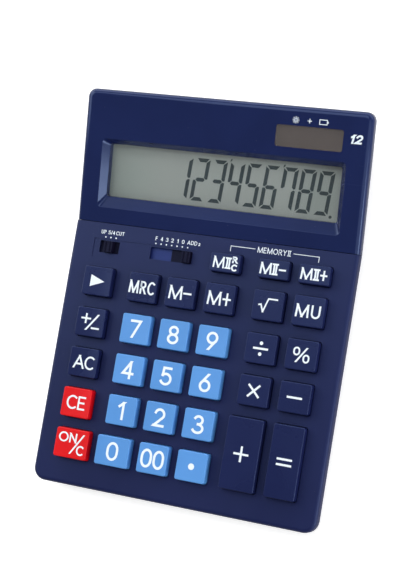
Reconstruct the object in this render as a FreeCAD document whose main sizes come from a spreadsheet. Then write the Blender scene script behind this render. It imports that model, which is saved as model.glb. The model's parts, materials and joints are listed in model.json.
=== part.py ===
import FreeCAD, Part
import math
import os
from types import SimpleNamespace

import Sketcher
from FreeCAD import Placement, Rotation, Vector

# Desktop calculator with a sloping keyboard, a steeper display head, spring keys,
# two slide switches, solar cell and back-up coin cell.
#
# World frame: X to the user's right, Y from the front edge to the back, Z up, with the
# origin on the table under the middle of the case.
# Deck frame: the keyboard surface. Its origin is the middle of the front edge, X as above,
# Y up the keyboard, Z out of the surface.
# Head frame: the display surface. Its origin is the middle of the seam with the keyboard.

# Every size a designer sets, in millimetres and degrees.
SIZES = (
    ("case_width", 153.5),
    ("deck_length", 137.0),
    ("head_length", 68.9),
    ("deck_tilt", 2.5),
    ("head_tilt", 11.7),
    ("front_height", 12.5),
    ("skirt_height", 6.0),
    ("side_wall", 2.0),
    ("deck_wall", 2.2),
    ("deck_corner", 6.5),
    ("deck_edge_round", 2.0),
    ("head_corner", 4.5),
    ("head_edge_round", 3.0),
    ("shell_seam", 0.3),
    ("fit_gap", 0.05),
    ("flange_thickness", 1.8),
    ("flange_inset", 0.6),
    ("floor_height", 1.2),
    ("floor_wall", 2.0),
    ("tub_front_inset", 4.5),
    ("tub_rear_inset", 6.0),
    ("tub_side_inset", 6.5),
    ("tub_draft", 5.0),
    ("tub_corner", 7.0),
    ("foot_radius", 5.0),
    ("foot_recess", 0.9),
    ("foot_side_inset", 11.0),
    ("foot_end_inset", 14.0),
    ("label_width", 56.0),
    ("label_depth", 30.0),
    ("label_recess", 0.3),
    ("boss_radius", 2.6),
    ("boss_length", 4.0),
    ("post_radius", 3.4),
    ("post_web", 2.8),
    ("case_screw_radius", 1.1),
    ("case_screw_length", 6.0),
    ("case_screw_head_radius", 2.3),
    ("case_screw_head_height", 1.8),
    ("case_screw_clearance", 0.3),
    ("thread_clearance", 0.05),
    ("front_screw_x", 58.0),
    ("front_screw_along", 8.2),
    ("rear_screw_x", 66.5),
    ("rear_screw_along", 60.3),
    ("key_pitch", 21.0),
    ("group_gap", 4.65),
    ("first_row", 21.4),
    ("memory_row_step", 21.5),
    ("top_row_step", 18.2),
    ("key_width", 15.8),
    ("key_depth", 14.9),
    ("small_key_depth", 9.5),
    ("tall_key_depth", 35.9),
    ("wide_key_extra", 2.4),
    ("key_height", 4.2),
    ("key_corner", 1.1),
    ("key_draft", 1.5),
    ("key_dish", 0.3),
    ("key_edge_round", 0.45),
    ("key_wall", 1.2),
    ("key_gap", 0.35),
    ("key_seat_gap", 0.1),
    ("key_lip", 0.9),
    ("key_lip_thickness", 1.0),
    ("key_plunger_radius", 2.4),
    ("dome_sheet_thickness", 0.6),
    ("dome_height", 2.4),
    ("dome_base_radius", 4.4),
    ("dome_draft", 30.0),
    ("dome_wall", 0.5),
    ("dome_gap", 0.05),
    ("board_depth", 6.4),
    ("board_thickness", 1.4),
    ("board_half_width", 64.5),
    ("board_front", 13.0),
    ("board_back", 131.0),
    ("sheet_step", 114.8),
    ("board_post_radius", 1.5),
    ("board_post_hole", 0.4),
    ("inner_screw_radius", 0.7),
    ("inner_screw_length", 4.0),
    ("inner_screw_head_radius", 1.5),
    ("inner_screw_head_height", 1.0),
    ("switch_along", 124.55),
    ("switch_slot_depth", 6.3),
    ("rounding_switch_x", -55.45),
    ("rounding_slot_width", 11.0),
    ("decimal_switch_x", -20.7),
    ("decimal_slot_width", 23.1),
    ("switch_step", 2.95),
    ("decimal_steps", 6.0),
    ("switch_recess", 0.25),
    ("switch_recess_left", -64.5),
    ("switch_recess_right", -6.5),
    ("switch_recess_back", 128.6),
    ("switch_recess_front", 118.6),
    ("switch_wall", 1.25),
    ("slot_corner", 0.4),
    ("slider_plate_length", 17.9),
    ("slider_plate_depth", 10.9),
    ("slider_plate_offset", 1.7),
    ("slider_travel_gap", 0.4),
    ("knob_width", 4.7),
    ("knob_side_gap", 0.3),
    ("knob_height", 2.0),
    ("knob_ridge", 0.45),
    ("guide_thickness", 1.0),
    ("guide_margin", 1.0),
    ("stem_length", 3.0),
    ("stem_width", 1.6),
    ("stem_offset", 5.2),
    ("wiper_thickness", 0.2),
    ("wiper_width", 6.0),
    ("recess_front", 7.9),
    ("recess_depth_along", 35.8),
    ("recess_width", 131.3),
    ("recess_corner", 2.2),
    ("recess_sink", 4.05),
    ("recess_edge_round", 0.4),
    ("bevel_side", 2.95),
    ("bevel_front", 5.8),
    ("bevel_back", 2.5),
    ("window_corner", 1.2),
    ("window_lip", 3.45),
    ("window_margin", 1.5),
    ("window_thickness", 0.8),
    ("funnel_margin", 1.5),
    ("panel_thickness", 2.0),
    ("panel_overlap", 1.8),
    ("holder_half_width", 66.0),
    ("holder_front", 2.4),
    ("holder_back", 49.4),
    ("holder_face_depth", 8.6),
    ("holder_wall", 1.5),
    ("holder_post_radius", 1.8),
    ("holder_screw_front", 4.2),
    ("holder_screw_back", 47.5),
    ("holder_screw_side", 55.0),
    ("holder_screw_inner", 15.0),
    ("connector_width", 2.2),
    ("connector_length", 116.0),
    ("display_board_gap", 1.2),
    ("display_board_thickness", 1.2),
    ("display_board_half_width", 63.0),
    ("display_board_front", 6.8),
    ("display_board_back", 45.0),
    ("display_board_screw_x", 59.0),
    ("display_board_screw_inset", 3.2),
    ("chip_radius", 7.0),
    ("chip_height", 1.6),
    ("chip_along", 24.0),
    ("solar_x", 45.3),
    ("solar_along", 53.8),
    ("solar_width", 34.6),
    ("solar_depth", 10.8),
    ("solar_corner", 1.2),
    ("solar_lip", 1.2),
    ("solar_ledge", 1.2),
    ("solar_gap", 0.15),
    ("solar_sink", 0.1),
    ("solar_cell_thickness", 1.1),
    ("lead_radius", 0.45),
    ("ribbon_width", 32.0),
    ("ribbon_thickness", 0.3),
    ("ribbon_sag", 2.4),
    ("bay_x", -38.0),
    ("bay_y", 78.0),
    ("bay_width", 22.0),
    ("bay_depth", 17.0),
    ("bay_side_room", 0.6),
    ("bay_end_room", 2.3),
    ("bay_wall", 1.5),
    ("bay_height", 6.2),
    ("cover_gap", 0.3),
    ("cover_thickness", 1.7),
    ("cover_tongue_width", 4.0),
    ("cover_tongue_reach", 1.4),
    ("cover_tongue_thickness", 0.8),
    ("cell_radius", 5.8),
    ("cell_height", 5.4),
    ("cell_x_shift", 3.0),
    ("contact_thickness", 0.3),
    ("contact_width", 4.0),
    ("lead_landing", 37.8),
)

# Rows from the front edge up, and columns from the left, that each key stands on.
KEYS = (
    ("key_on_clear", "left_edge", "first", "wide_right"),
    ("key_zero", "digits_left", "first", "wide_left"),
    ("key_double_zero", "digits_middle", "first", "plain"),
    ("key_point", "digits_right", "first", "plain"),
    ("key_clear_entry", "left_edge", "second", "plain"),
    ("key_one", "digits_left", "second", "plain"),
    ("key_two", "digits_middle", "second", "plain"),
    ("key_three", "digits_right", "second", "plain"),
    ("key_plus", "functions", "tall", "tall_wide"),
    ("key_equals", "right_edge", "tall", "tall"),
    ("key_all_clear", "left_edge", "third", "plain"),
    ("key_four", "digits_left", "third", "plain"),
    ("key_five", "digits_middle", "third", "plain"),
    ("key_six", "digits_right", "third", "plain"),
    ("key_times", "functions", "third", "plain"),
    ("key_minus", "right_edge", "third", "plain"),
    ("key_sign", "left_edge", "fourth", "plain"),
    ("key_seven", "digits_left", "fourth", "plain"),
    ("key_eight", "digits_middle", "fourth", "plain"),
    ("key_nine", "digits_right", "fourth", "plain"),
    ("key_divide", "functions", "fourth", "plain"),
    ("key_percent", "right_edge", "fourth", "plain"),
    ("key_step_back", "left_edge", "memory", "plain"),
    ("key_memory_recall", "digits_left", "memory", "plain"),
    ("key_memory_minus", "digits_middle", "memory", "plain"),
    ("key_memory_plus", "digits_right", "memory", "plain"),
    ("key_square_root", "functions", "memory", "plain"),
    ("key_mark_up", "right_edge", "memory", "plain"),
    ("key_second_memory_recall", "digits_right", "top", "small"),
    ("key_second_memory_minus", "functions", "top", "small"),
    ("key_second_memory_plus", "right_edge", "top", "small"),
)


class Size:
    """A number that carries the spreadsheet formula it comes from."""

    def __init__(self, value, text):
        self.value = value
        self.text = text

    def __add__(self, other):
        other = sized(other)
        return Size(self.value + other.value, f"({self.text} + {other.text})")

    def __radd__(self, other):
        return sized(other) + self

    def __sub__(self, other):
        other = sized(other)
        return Size(self.value - other.value, f"({self.text} - {other.text})")

    def __rsub__(self, other):
        return sized(other) - self

    def __mul__(self, other):
        other = sized(other)
        return Size(self.value * other.value, f"({self.text} * {other.text})")

    def __rmul__(self, other):
        return sized(other) * self

    def __truediv__(self, other):
        other = sized(other)
        return Size(self.value / other.value, f"({self.text} / {other.text})")

    def __neg__(self):
        return Size(-self.value, f"(0 - {self.text})")


def sized(number):
    """Gives a plain number the same form as a size from the sheet."""
    if isinstance(number, Size):
        return number
    return Size(float(number), f"({float(number)})")


def sine(angle):
    return Size(math.sin(math.radians(angle.value)), f"sin({angle.text})")


def cosine(angle):
    return Size(math.cos(math.radians(angle.value)), f"cos({angle.text})")


def tangent(angle):
    return Size(math.tan(math.radians(angle.value)), f"tan({angle.text})")


def bind(item, path, size):
    """Ties a property to its formula, or leaves a plain number as it was set."""
    if "Sizes." in size.text:
        item.setExpression(path, size.text)


doc = FreeCAD.newDocument("Calculator")
sheet = doc.addObject("Spreadsheet::Sheet", "Sizes")
S = SimpleNamespace()
for row, (alias, number) in enumerate(SIZES, start=1):
    sheet.set(f"A{row}", alias.replace("_", " "))
    sheet.set(f"B{row}", str(number))
    sheet.setAlias(f"B{row}", alias)
    setattr(S, alias, Size(number, f"Sizes.{alias}"))
doc.recompute()


# Places in the three frames.
HEAD_ANGLE = S.deck_tilt + S.head_tilt
CASE_RUN = (
    S.deck_length * cosine(S.deck_tilt)
    + S.head_length * cosine(HEAD_ANGLE)
    + S.skirt_height * sine(HEAD_ANGLE)
)
FRONT_Y = -CASE_RUN / 2
FLOOR_TOP = S.floor_height + S.floor_wall


def deck_point(along, up):
    """World Y and Z of a point that lies 'along' the keyboard and 'up' from its surface."""
    y = FRONT_Y + along * cosine(S.deck_tilt) - up * sine(S.deck_tilt)
    z = S.front_height + along * sine(S.deck_tilt) + up * cosine(S.deck_tilt)
    return y, z


def head_point(along, up):
    """The same for the display head."""
    seam_y, seam_z = deck_point(S.deck_length, sized(0))
    y = seam_y + along * cosine(HEAD_ANGLE) - up * sine(HEAD_ANGLE)
    z = seam_z + along * sine(HEAD_ANGLE) + up * cosine(HEAD_ANGLE)
    return y, z


def stand(body, x, y, z, angle):
    """Puts a body at a bound place, turned about X by a bound angle."""
    x, y, z, angle = sized(x), sized(y), sized(z), sized(angle)
    turn = Rotation(Vector(1, 0, 0), angle.value)
    body.Placement = Placement(Vector(x.value, y.value, z.value), turn)
    bind(body, ".Placement.Base.x", x)
    bind(body, ".Placement.Base.y", y)
    bind(body, ".Placement.Base.z", z)
    bind(body, ".Placement.Rotation.Angle", angle)


def stand_on_deck(body, x=0.0, along=0.0):
    y, z = deck_point(sized(along), sized(0))
    stand(body, x, y, z, S.deck_tilt)


def stand_on_head(body, x=0.0, along=0.0):
    y, z = head_point(sized(along), sized(0))
    stand(body, x, y, z, HEAD_ANGLE)


# Sketches and features.
NODES = []


def new_body(label):
    body = doc.addObject("PartDesign::Body", label)
    body.Label = label
    body.AllowCompound = True
    NODES.append(body)
    return body


def new_sketch(body, name, role="XY_Plane", y=0.0, z=0.0, turn=0.0):
    """A sketch on one of the body's own planes, moved by bound amounts and turned about X."""
    y, z, turn = sized(y), sized(z), sized(turn)
    sketch = body.newObject("Sketcher::SketchObject", f"{body.Name}_{name}")
    support = next(item for item in body.Origin.OriginFeatures if item.Role == role)
    sketch.AttachmentSupport = [(support, "")]
    sketch.MapMode = "FlatFace"
    sketch.AttachmentOffset = Placement(
        Vector(0, y.value, z.value), Rotation(Vector(1, 0, 0), turn.value)
    )
    bind(sketch, ".AttachmentOffset.Base.y", y)
    bind(sketch, ".AttachmentOffset.Base.z", z)
    bind(sketch, ".AttachmentOffset.Rotation.Angle", turn)
    return sketch


def constrain(sketch, wanted):
    """Adds constraints; a wanted item is (constraint, size or None)."""
    numbers = sketch.addConstraint([item for item, _ in wanted])
    for number, (_, size) in zip(numbers, wanted):
        if size is not None:
            bind(sketch, f"Constraints[{number}]", size)


def across(first, first_point, second, second_point, size):
    """Horizontal distance, or a point held on the axis where the distance is nothing."""
    return axis_distance("DistanceX", -2, first, first_point, second, second_point, size)


def upward(first, first_point, second, second_point, size):
    return axis_distance("DistanceY", -1, first, first_point, second, second_point, size)


def axis_distance(kind, axis, first, first_point, second, second_point, size):
    size = sized(size)
    if first == -1 and abs(size.value) < 1e-9:
        return Sketcher.Constraint("PointOnObject", second, second_point, axis), None
    item = Sketcher.Constraint(kind, first, first_point, second, second_point, size.value)
    return item, size


def rounded_rectangle(sketch, width, depth, corner, x=0.0, y=0.0):
    """A rectangle with four equal corner arcs, centred on x, y."""
    width, depth, corner, x, y = (sized(item) for item in (width, depth, corner, x, y))
    left, right = x - width / 2, x + width / 2
    low, high = y - depth / 2, y + depth / 2
    radius = corner.value
    x0, x1, y0, y1 = left.value, right.value, low.value, high.value
    quarter = math.pi / 2
    corners = (
        ((x1 - radius, y0 + radius), -quarter, (x0 + radius, y0), (x1 - radius, y0)),
        ((x1 - radius, y1 - radius), 0.0, (x1, y0 + radius), (x1, y1 - radius)),
        ((x0 + radius, y1 - radius), quarter, (x1 - radius, y1), (x0 + radius, y1)),
        ((x0 + radius, y0 + radius), 2 * quarter, (x0, y1 - radius), (x0, y0 + radius)),
    )
    shapes = []
    for centre, start, line_from, line_to in corners:
        shapes.append(Part.LineSegment(Vector(*line_from, 0), Vector(*line_to, 0)))
        circle = Part.Circle(Vector(*centre, 0), Vector(0, 0, 1), radius)
        shapes.append(Part.ArcOfCircle(circle, start, start + quarter))
    first = sketch.addGeometry(shapes, False)[0]
    bottom, side, top, back = first, first + 2, first + 4, first + 6
    wanted = [
        (Sketcher.Constraint("Tangent", first + i, 2, first + (i + 1) % 8, 1), None)
        for i in range(8)
    ]
    for line in (bottom, top):
        wanted.append((Sketcher.Constraint("Horizontal", line), None))
    for line in (side, back):
        wanted.append((Sketcher.Constraint("Vertical", line), None))
    for arc in (first + 3, first + 5, first + 7):
        wanted.append((Sketcher.Constraint("Equal", first + 1, arc), None))
    wanted.append((Sketcher.Constraint("Radius", first + 1, radius), corner))
    wanted.append(across(back, 1, side, 1, width))
    wanted.append(upward(bottom, 1, top, 1, depth))
    wanted.append(across(-1, 1, back, 1, left))
    wanted.append(upward(-1, 1, bottom, 1, low))
    constrain(sketch, wanted)


def outline(sketch, points):
    """A closed outline of straight lines through bound points."""
    points = [(sized(x), sized(y)) for x, y in points]
    ends = [Vector(x.value, y.value, 0) for x, y in points]
    lines = [Part.LineSegment(ends[i - 1], ends[i]) for i in range(len(ends))]
    first = sketch.addGeometry(lines, False)[0]
    wanted = []
    for i, (x, y) in enumerate(points):
        following = first + (i + 1) % len(points)
        wanted.append((Sketcher.Constraint("Coincident", first + i, 2, following, 1), None))
        wanted.append(across(-1, 1, first + i, 2, x))
        wanted.append(upward(-1, 1, first + i, 2, y))
    constrain(sketch, wanted)


def rectangle(sketch, left, right, low, high):
    outline(sketch, ((left, low), (right, low), (right, high), (left, high)))


def circle(sketch, x, y, radius):
    x, y, radius = sized(x), sized(y), sized(radius)
    round_line = Part.Circle(Vector(x.value, y.value, 0), Vector(0, 0, 1), radius.value)
    number = sketch.addGeometry(round_line, False)
    wanted = [
        (Sketcher.Constraint("Radius", number, radius.value), radius),
        across(-1, 1, number, 3, x),
        upward(-1, 1, number, 3, y),
    ]
    constrain(sketch, wanted)


def extrude(body, kind, sketch, length, reverse, middle, draft):
    feature = body.newObject(f"PartDesign::{kind}", f"{sketch.Name}_{kind}")
    feature.Profile = sketch
    if length is None:
        feature.Type = "ThroughAll"
    else:
        length = sized(length)
        feature.Length = length.value
        bind(feature, "Length", length)
    feature.Reversed = reverse
    if middle:
        feature.SideType = "Symmetric"
    if draft is not None:
        feature.TaperAngle = draft.value
        bind(feature, "TaperAngle", draft)
    sketch.Visibility = False
    return feature


def pad(body, sketch, length, down=False, middle=False, draft=None):
    """Adds material along the sketch's normal, or against it when 'down'."""
    return extrude(body, "Pad", sketch, length, down, middle, draft)


def pocket(body, sketch, length=None, up=False, middle=False, draft=None):
    """Cuts against the sketch's normal, or along it when 'up'; no length cuts through."""
    return extrude(body, "Pocket", sketch, length, up, middle, draft)


def round_edges(body, radius, wanted):
    """Rounds the edges of the body's last feature that 'wanted' picks."""
    doc.recompute()
    base = body.Tip
    names = [f"Edge{i + 1}" for i, edge in enumerate(base.Shape.Edges) if wanted(edge)]
    if not names:
        raise RuntimeError(f"no edge to round on {body.Label}")
    feature = body.newObject("PartDesign::Fillet", f"{base.Name}_Round")
    feature.Base = (base, names)
    feature.Radius = radius.value
    bind(feature, "Radius", radius)
    return feature


def is_level(edge, height):
    box = edge.BoundBox
    return abs(box.ZMin - height) < 1e-4 and abs(box.ZMax - height) < 1e-4


def is_upright(edge):
    box = edge.BoundBox
    return box.XLength < 1e-4 and box.YLength < 1e-4


# Layout of the keyboard, in the deck frame.
COLUMNS = {
    "left_edge": -(S.key_pitch * 2.5 + S.group_gap),
    "digits_left": -(S.key_pitch * 1.5),
    "digits_middle": -(S.key_pitch / 2),
    "digits_right": S.key_pitch / 2,
    "functions": S.key_pitch * 1.5 + S.group_gap,
    "right_edge": S.key_pitch * 2.5 + S.group_gap,
}
MEMORY_ROW = S.first_row + S.key_pitch * 3 + S.memory_row_step
ROWS = {
    "first": S.first_row,
    "second": S.first_row + S.key_pitch,
    "third": S.first_row + S.key_pitch * 2,
    "fourth": S.first_row + S.key_pitch * 3,
    "memory": MEMORY_ROW,
    "top": MEMORY_ROW + S.top_row_step,
    "tall": S.first_row + S.key_pitch / 2,
}
KEY_FORMS = {
    "plain": (S.key_width, S.key_depth, sized(0)),
    "small": (S.key_width, S.small_key_depth, sized(0)),
    "tall": (S.key_width, S.tall_key_depth, sized(0)),
    "wide_left": (S.key_width + S.wide_key_extra, S.key_depth, -S.wide_key_extra / 2),
    "wide_right": (S.key_width + S.wide_key_extra, S.key_depth, S.wide_key_extra / 2),
    "tall_wide": (S.key_width + S.wide_key_extra, S.tall_key_depth, -S.wide_key_extra / 2),
}
KEY_SPREAD = S.key_height * tangent(S.key_draft) * 2
SHEET_TOP = S.board_depth - S.dome_sheet_thickness
DOME_TOP = SHEET_TOP - S.dome_height
LIP_TOP = S.deck_wall + S.key_seat_gap

# Gaps between the columns and rows, where posts can stand.
LEFT_LANE = -(S.key_pitch * 2 + S.group_gap / 2)
MIDDLE_LANE = sized(0)
RIGHT_LANE = S.key_pitch + S.group_gap / 2
TALL_KEY_LANE = S.key_pitch + (S.group_gap - S.wide_key_extra) / 2
FAR_RIGHT_LANE = S.key_pitch * 2 + S.group_gap
LOW_LANE = S.first_row + S.key_pitch / 2
MIDDLE_CROSS_LANE = S.first_row + S.key_pitch * 2.5
CASE_LANE = S.first_row + S.key_pitch * 3 + S.memory_row_step / 2
HIGH_LANE = MEMORY_ROW + (S.key_depth / 2 + S.top_row_step - S.small_key_depth / 2) / 2
BOARD_POSTS = (
    (LEFT_LANE, LOW_LANE),
    (MIDDLE_LANE, LOW_LANE),
    (TALL_KEY_LANE, LOW_LANE),
    (LEFT_LANE, MIDDLE_CROSS_LANE),
    (MIDDLE_LANE, MIDDLE_CROSS_LANE),
    (FAR_RIGHT_LANE, MIDDLE_CROSS_LANE),
    (RIGHT_LANE, HIGH_LANE),
    (FAR_RIGHT_LANE, HIGH_LANE),
)


def key_place(column, row, form):
    width, depth, shift = KEY_FORMS[form]
    return COLUMNS[column] + shift, ROWS[row], width, depth


# Case screws: pairs of upright screws, each with a boss above and a post below.
class ScrewPair:
    """Two case screws at one distance from the front, with the heights they work at."""

    def __init__(self, name, xs, along, point, angle):
        self.name = name
        self.xs = xs
        self.along = along
        self.angle = angle
        self.root = S.deck_wall / 2
        self.y, self.root_z = point(along, -self.root)
        underside = point(along, -S.deck_wall)[1]
        self.seat = underside - S.boss_length
        self.bearing = self.seat - S.post_web


SCREW_PAIRS = (
    ScrewPair(
        "front",
        (-S.front_screw_x, S.front_screw_x),
        S.front_screw_along,
        deck_point,
        S.deck_tilt,
    ),
    ScrewPair("middle", (LEFT_LANE, RIGHT_LANE), CASE_LANE, deck_point, S.deck_tilt),
    ScrewPair(
        "rear", (-S.rear_screw_x, S.rear_screw_x), S.rear_screw_along, head_point, HEAD_ANGLE
    ),
)


def level_circles(body, name, pair, drop, radius):
    """Level circles in a sloping shell, 'drop' below the middle of its top wall."""
    y = pair.along - drop * sine(pair.angle)
    z = -pair.root - drop * cosine(pair.angle)
    sketch = new_sketch(body, f"{pair.name}_{name}", y=y, z=z, turn=-pair.angle)
    for x in pair.xs:
        circle(sketch, x, 0, radius)
    return sketch


def screw_bosses(body, pair):
    """Upright bosses under a shell, with pilot holes for the case screws."""
    reach = pair.root_z - pair.seat - S.fit_gap
    boss = level_circles(body, "boss", pair, sized(0), S.boss_radius)
    pad(body, boss, reach, down=True)
    start = pair.root_z - pair.bearing - S.case_screw_length - S.thread_clearance * 4
    pilot_radius = S.case_screw_radius + S.thread_clearance
    pilot = level_circles(body, "pilot", pair, start, pilot_radius)
    pocket(body, pilot, reach)


# Keyboard shell.
SWITCH_FACE = S.switch_recess + S.switch_wall
DECIMAL_REST_X = S.decimal_switch_x + S.switch_step * S.decimal_steps / 2
SLIDERS = {
    "rounding": (S.rounding_switch_x, S.rounding_slot_width, S.rounding_switch_x, sized(2)),
    "decimal": (S.decimal_switch_x, S.decimal_slot_width, DECIMAL_REST_X, S.decimal_steps),
}
SLIDER_LOW = S.switch_along - S.slider_plate_offset - S.slider_plate_depth / 2
SLIDER_HIGH = SLIDER_LOW + S.slider_plate_depth


def slider_room(kind):
    """Half the width that the slider's plate sweeps, with its running gap."""
    steps = SLIDERS[kind][3]
    return S.slider_plate_length / 2 + S.switch_step * steps / 2 + S.slider_travel_gap


def make_keyboard_case():
    body = new_body("keyboard_case")
    half = S.case_width / 2
    plan = new_sketch(body, "plan")
    rectangle(plan, -half, half, 0, S.deck_length - S.shell_seam / 2)
    pad(body, plan, S.skirt_height, down=True)
    round_edges(
        body, S.deck_corner, lambda edge: is_upright(edge) and edge.BoundBox.YMax < 1e-3
    )
    back = (S.deck_length - S.shell_seam / 2).value
    round_edges(
        body,
        S.deck_edge_round,
        lambda edge: is_level(edge, 0.0) and edge.BoundBox.YMin < back - 1e-3,
    )
    inside = new_sketch(body, "inside", z=-S.skirt_height)
    room = S.deck_length - S.shell_seam / 2 - S.side_wall * 2
    rounded_rectangle(
        inside,
        S.case_width - S.side_wall * 2,
        room,
        S.deck_corner - S.side_wall,
        y=S.side_wall + room / 2,
    )
    pocket(body, inside, S.skirt_height - S.deck_wall, up=True)
    # One sketch a row, because the sketch solver is slow with all the windows in one.
    for row in ROWS:
        windows = new_sketch(body, f"{row}_row_windows")
        for column, form in ((key[1], key[3]) for key in KEYS if key[2] == row):
            x, along, width, depth = key_place(column, row, form)
            widening = KEY_SPREAD + S.key_gap * 2
            corner = S.key_corner + S.key_gap
            rounded_rectangle(windows, width + widening, depth + widening, corner, x, along)
        pocket(body, windows, S.deck_wall * 2)
    recess = new_sketch(body, "switch_recess")
    left, right = S.switch_recess_left, S.switch_recess_right
    rectangle(recess, left, right, S.switch_recess_front, S.switch_recess_back)
    pocket(body, recess, S.switch_recess)
    slots = new_sketch(body, "switch_slots")
    for x, width, _, _ in SLIDERS.values():
        rounded_rectangle(slots, width, S.switch_slot_depth, S.slot_corner, x, S.switch_along)
    pocket(body, slots, S.deck_wall * 2)
    thin = new_sketch(body, "slider_room", z=-S.deck_wall)
    for kind, (x, _, _, _) in SLIDERS.items():
        reach = slider_room(kind)
        low, high = SLIDER_LOW - S.slider_travel_gap, SLIDER_HIGH + S.slider_travel_gap
        rectangle(thin, x - reach, x + reach, low, high)
    pocket(body, thin, S.deck_wall - SWITCH_FACE, up=True)
    posts = new_sketch(body, "board_posts", z=-S.deck_wall)
    for x, along in BOARD_POSTS:
        circle(posts, x, along, S.board_post_radius)
    pad(body, posts, S.board_depth - S.deck_wall - S.fit_gap, down=True)
    pilots = new_sketch(body, "board_pilots", z=-S.board_depth)
    for x, along in BOARD_POSTS:
        circle(pilots, x, along, S.inner_screw_radius + S.thread_clearance)
    pocket(body, pilots, S.board_depth - S.deck_wall + S.deck_wall / 4, up=True)
    screw_bosses(body, SCREW_PAIRS[0])
    screw_bosses(body, SCREW_PAIRS[1])
    stand_on_deck(body)


# Display head.
RECESS_BACK = S.recess_front + S.recess_depth_along
WINDOW_FRONT = S.recess_front + S.bevel_front
WINDOW_BACK = RECESS_BACK - S.bevel_back
WINDOW_MIDDLE = (WINDOW_FRONT + WINDOW_BACK) / 2
WINDOW_WIDTH = S.recess_width - S.bevel_side * 2
WINDOW_DEPTH = WINDOW_BACK - WINDOW_FRONT
LIP_DEPTH = S.recess_sink + S.window_lip
HOLDER_POSTS = (
    (-S.holder_screw_side, S.holder_screw_front),
    (sized(0), S.holder_screw_front),
    (S.holder_screw_side, S.holder_screw_front),
    (-S.holder_screw_side, S.holder_screw_back),
    (S.holder_screw_inner, S.holder_screw_back),
)


def make_display_cover():
    body = new_body("display_cover")
    half = S.case_width / 2
    lead_in = S.skirt_height / 2
    plan = new_sketch(body, "plan")
    rectangle(plan, -half, half, -lead_in, S.head_length)
    pad(body, plan, S.skirt_height, down=True)
    front, back = -lead_in.value, S.head_length.value
    round_edges(
        body,
        S.head_corner,
        lambda edge: is_upright(edge) and edge.BoundBox.YMin > back - 1e-3,
    )
    round_edges(
        body,
        S.head_edge_round,
        lambda edge: is_level(edge, 0.0) and edge.BoundBox.YMax > front + 1e-3,
    )
    # The front face lies along the keyboard shell's end face, a seam away.
    trim = new_sketch(body, "seam", role="YZ_Plane")
    seam_top = S.shell_seam / 2 / cosine(S.head_tilt)
    slope = tangent(S.head_tilt)
    above, below = S.skirt_height / 2, S.skirt_height * 1.5
    outline(
        trim,
        (
            (seam_top + above * slope, above),
            (seam_top - below * slope, -below),
            (-S.skirt_height * 2, -below),
            (-S.skirt_height * 2, above),
        ),
    )
    pocket(body, trim, middle=True)
    inside = new_sketch(body, "inside", z=-S.skirt_height)
    room = S.head_length - S.side_wall * 2
    rounded_rectangle(
        inside,
        S.case_width - S.side_wall * 2,
        room,
        S.head_corner - S.side_wall,
        y=S.side_wall + room / 2,
    )
    pocket(body, inside, S.skirt_height - S.deck_wall, up=True)
    funnel = new_sketch(body, "funnel", z=-S.deck_wall / 2)
    rounded_rectangle(
        funnel,
        S.recess_width + S.funnel_margin * 2,
        S.recess_depth_along + S.funnel_margin * 2,
        S.recess_corner,
        y=S.recess_front + S.recess_depth_along / 2,
    )
    pad(body, funnel, LIP_DEPTH - S.deck_wall / 2, down=True)
    mouth = new_sketch(body, "recess_mouth")
    rounded_rectangle(
        mouth,
        S.recess_width,
        S.recess_depth_along,
        S.recess_corner,
        y=S.recess_front + S.recess_depth_along / 2,
    )
    throat = new_sketch(body, "recess_throat", z=-S.recess_sink)
    rounded_rectangle(throat, WINDOW_WIDTH, WINDOW_DEPTH, S.window_corner, y=WINDOW_MIDDLE)
    bevels = body.newObject("PartDesign::SubtractiveLoft", "display_cover_bevels")
    bevels.Profile = mouth
    bevels.Sections = [throat]
    bevels.Ruled = True
    opening = new_sketch(body, "window_opening", z=-S.recess_sink / 2)
    rounded_rectangle(opening, WINDOW_WIDTH, WINDOW_DEPTH, S.window_corner, y=WINDOW_MIDDLE)
    pocket(body, opening, LIP_DEPTH)
    round_edges(body, S.recess_edge_round, is_recess_mouth)
    round_edges(body, S.recess_edge_round, is_recess_throat)
    solar = new_sketch(body, "solar_opening")
    rounded_rectangle(
        solar, S.solar_width, S.solar_depth, S.solar_corner, S.solar_x, S.solar_along
    )
    pocket(body, solar, S.deck_wall * 2)
    ledge = new_sketch(body, "solar_ledge", z=-S.deck_wall)
    widening = S.solar_ledge * 2
    rounded_rectangle(
        ledge,
        S.solar_width + widening,
        S.solar_depth + widening,
        S.solar_corner,
        S.solar_x,
        S.solar_along,
    )
    pocket(body, ledge, S.deck_wall - S.solar_lip, up=True)
    posts = new_sketch(body, "holder_posts", z=-S.deck_wall)
    for x, along in HOLDER_POSTS:
        circle(posts, x, along, S.holder_post_radius)
    pad(body, posts, S.holder_face_depth - S.deck_wall - S.fit_gap, down=True)
    pilots = new_sketch(body, "holder_pilots", z=-S.holder_face_depth)
    for x, along in HOLDER_POSTS:
        circle(pilots, x, along, S.inner_screw_radius + S.thread_clearance)
    pocket(body, pilots, S.holder_face_depth - S.deck_wall + S.deck_wall / 4, up=True)
    screw_bosses(body, SCREW_PAIRS[2])
    stand_on_head(body)


def is_recess_mouth(edge):
    """Part of the display recess's outline on the head's top face."""
    box = edge.BoundBox
    inside = box.YMin > S.recess_front.value - 1e-3 and box.YMax < RECESS_BACK.value + 1e-3
    return is_level(edge, 0.0) and inside and abs(box.XMax) < S.recess_width.value / 2 + 1e-3


def is_recess_throat(edge):
    """Part of the window opening's upper edge."""
    return is_level(edge, -S.recess_sink.value)


# Bottom case, in the world frame.
def parting_points(depth):
    """Front, seam and rear ends of the line that lies 'depth' under both surfaces."""
    miter = depth * tangent(S.head_tilt / 2)
    return (
        deck_point(sized(0), -depth),
        deck_point(S.deck_length + miter, -depth),
        head_point(S.head_length, -depth),
    )


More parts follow.
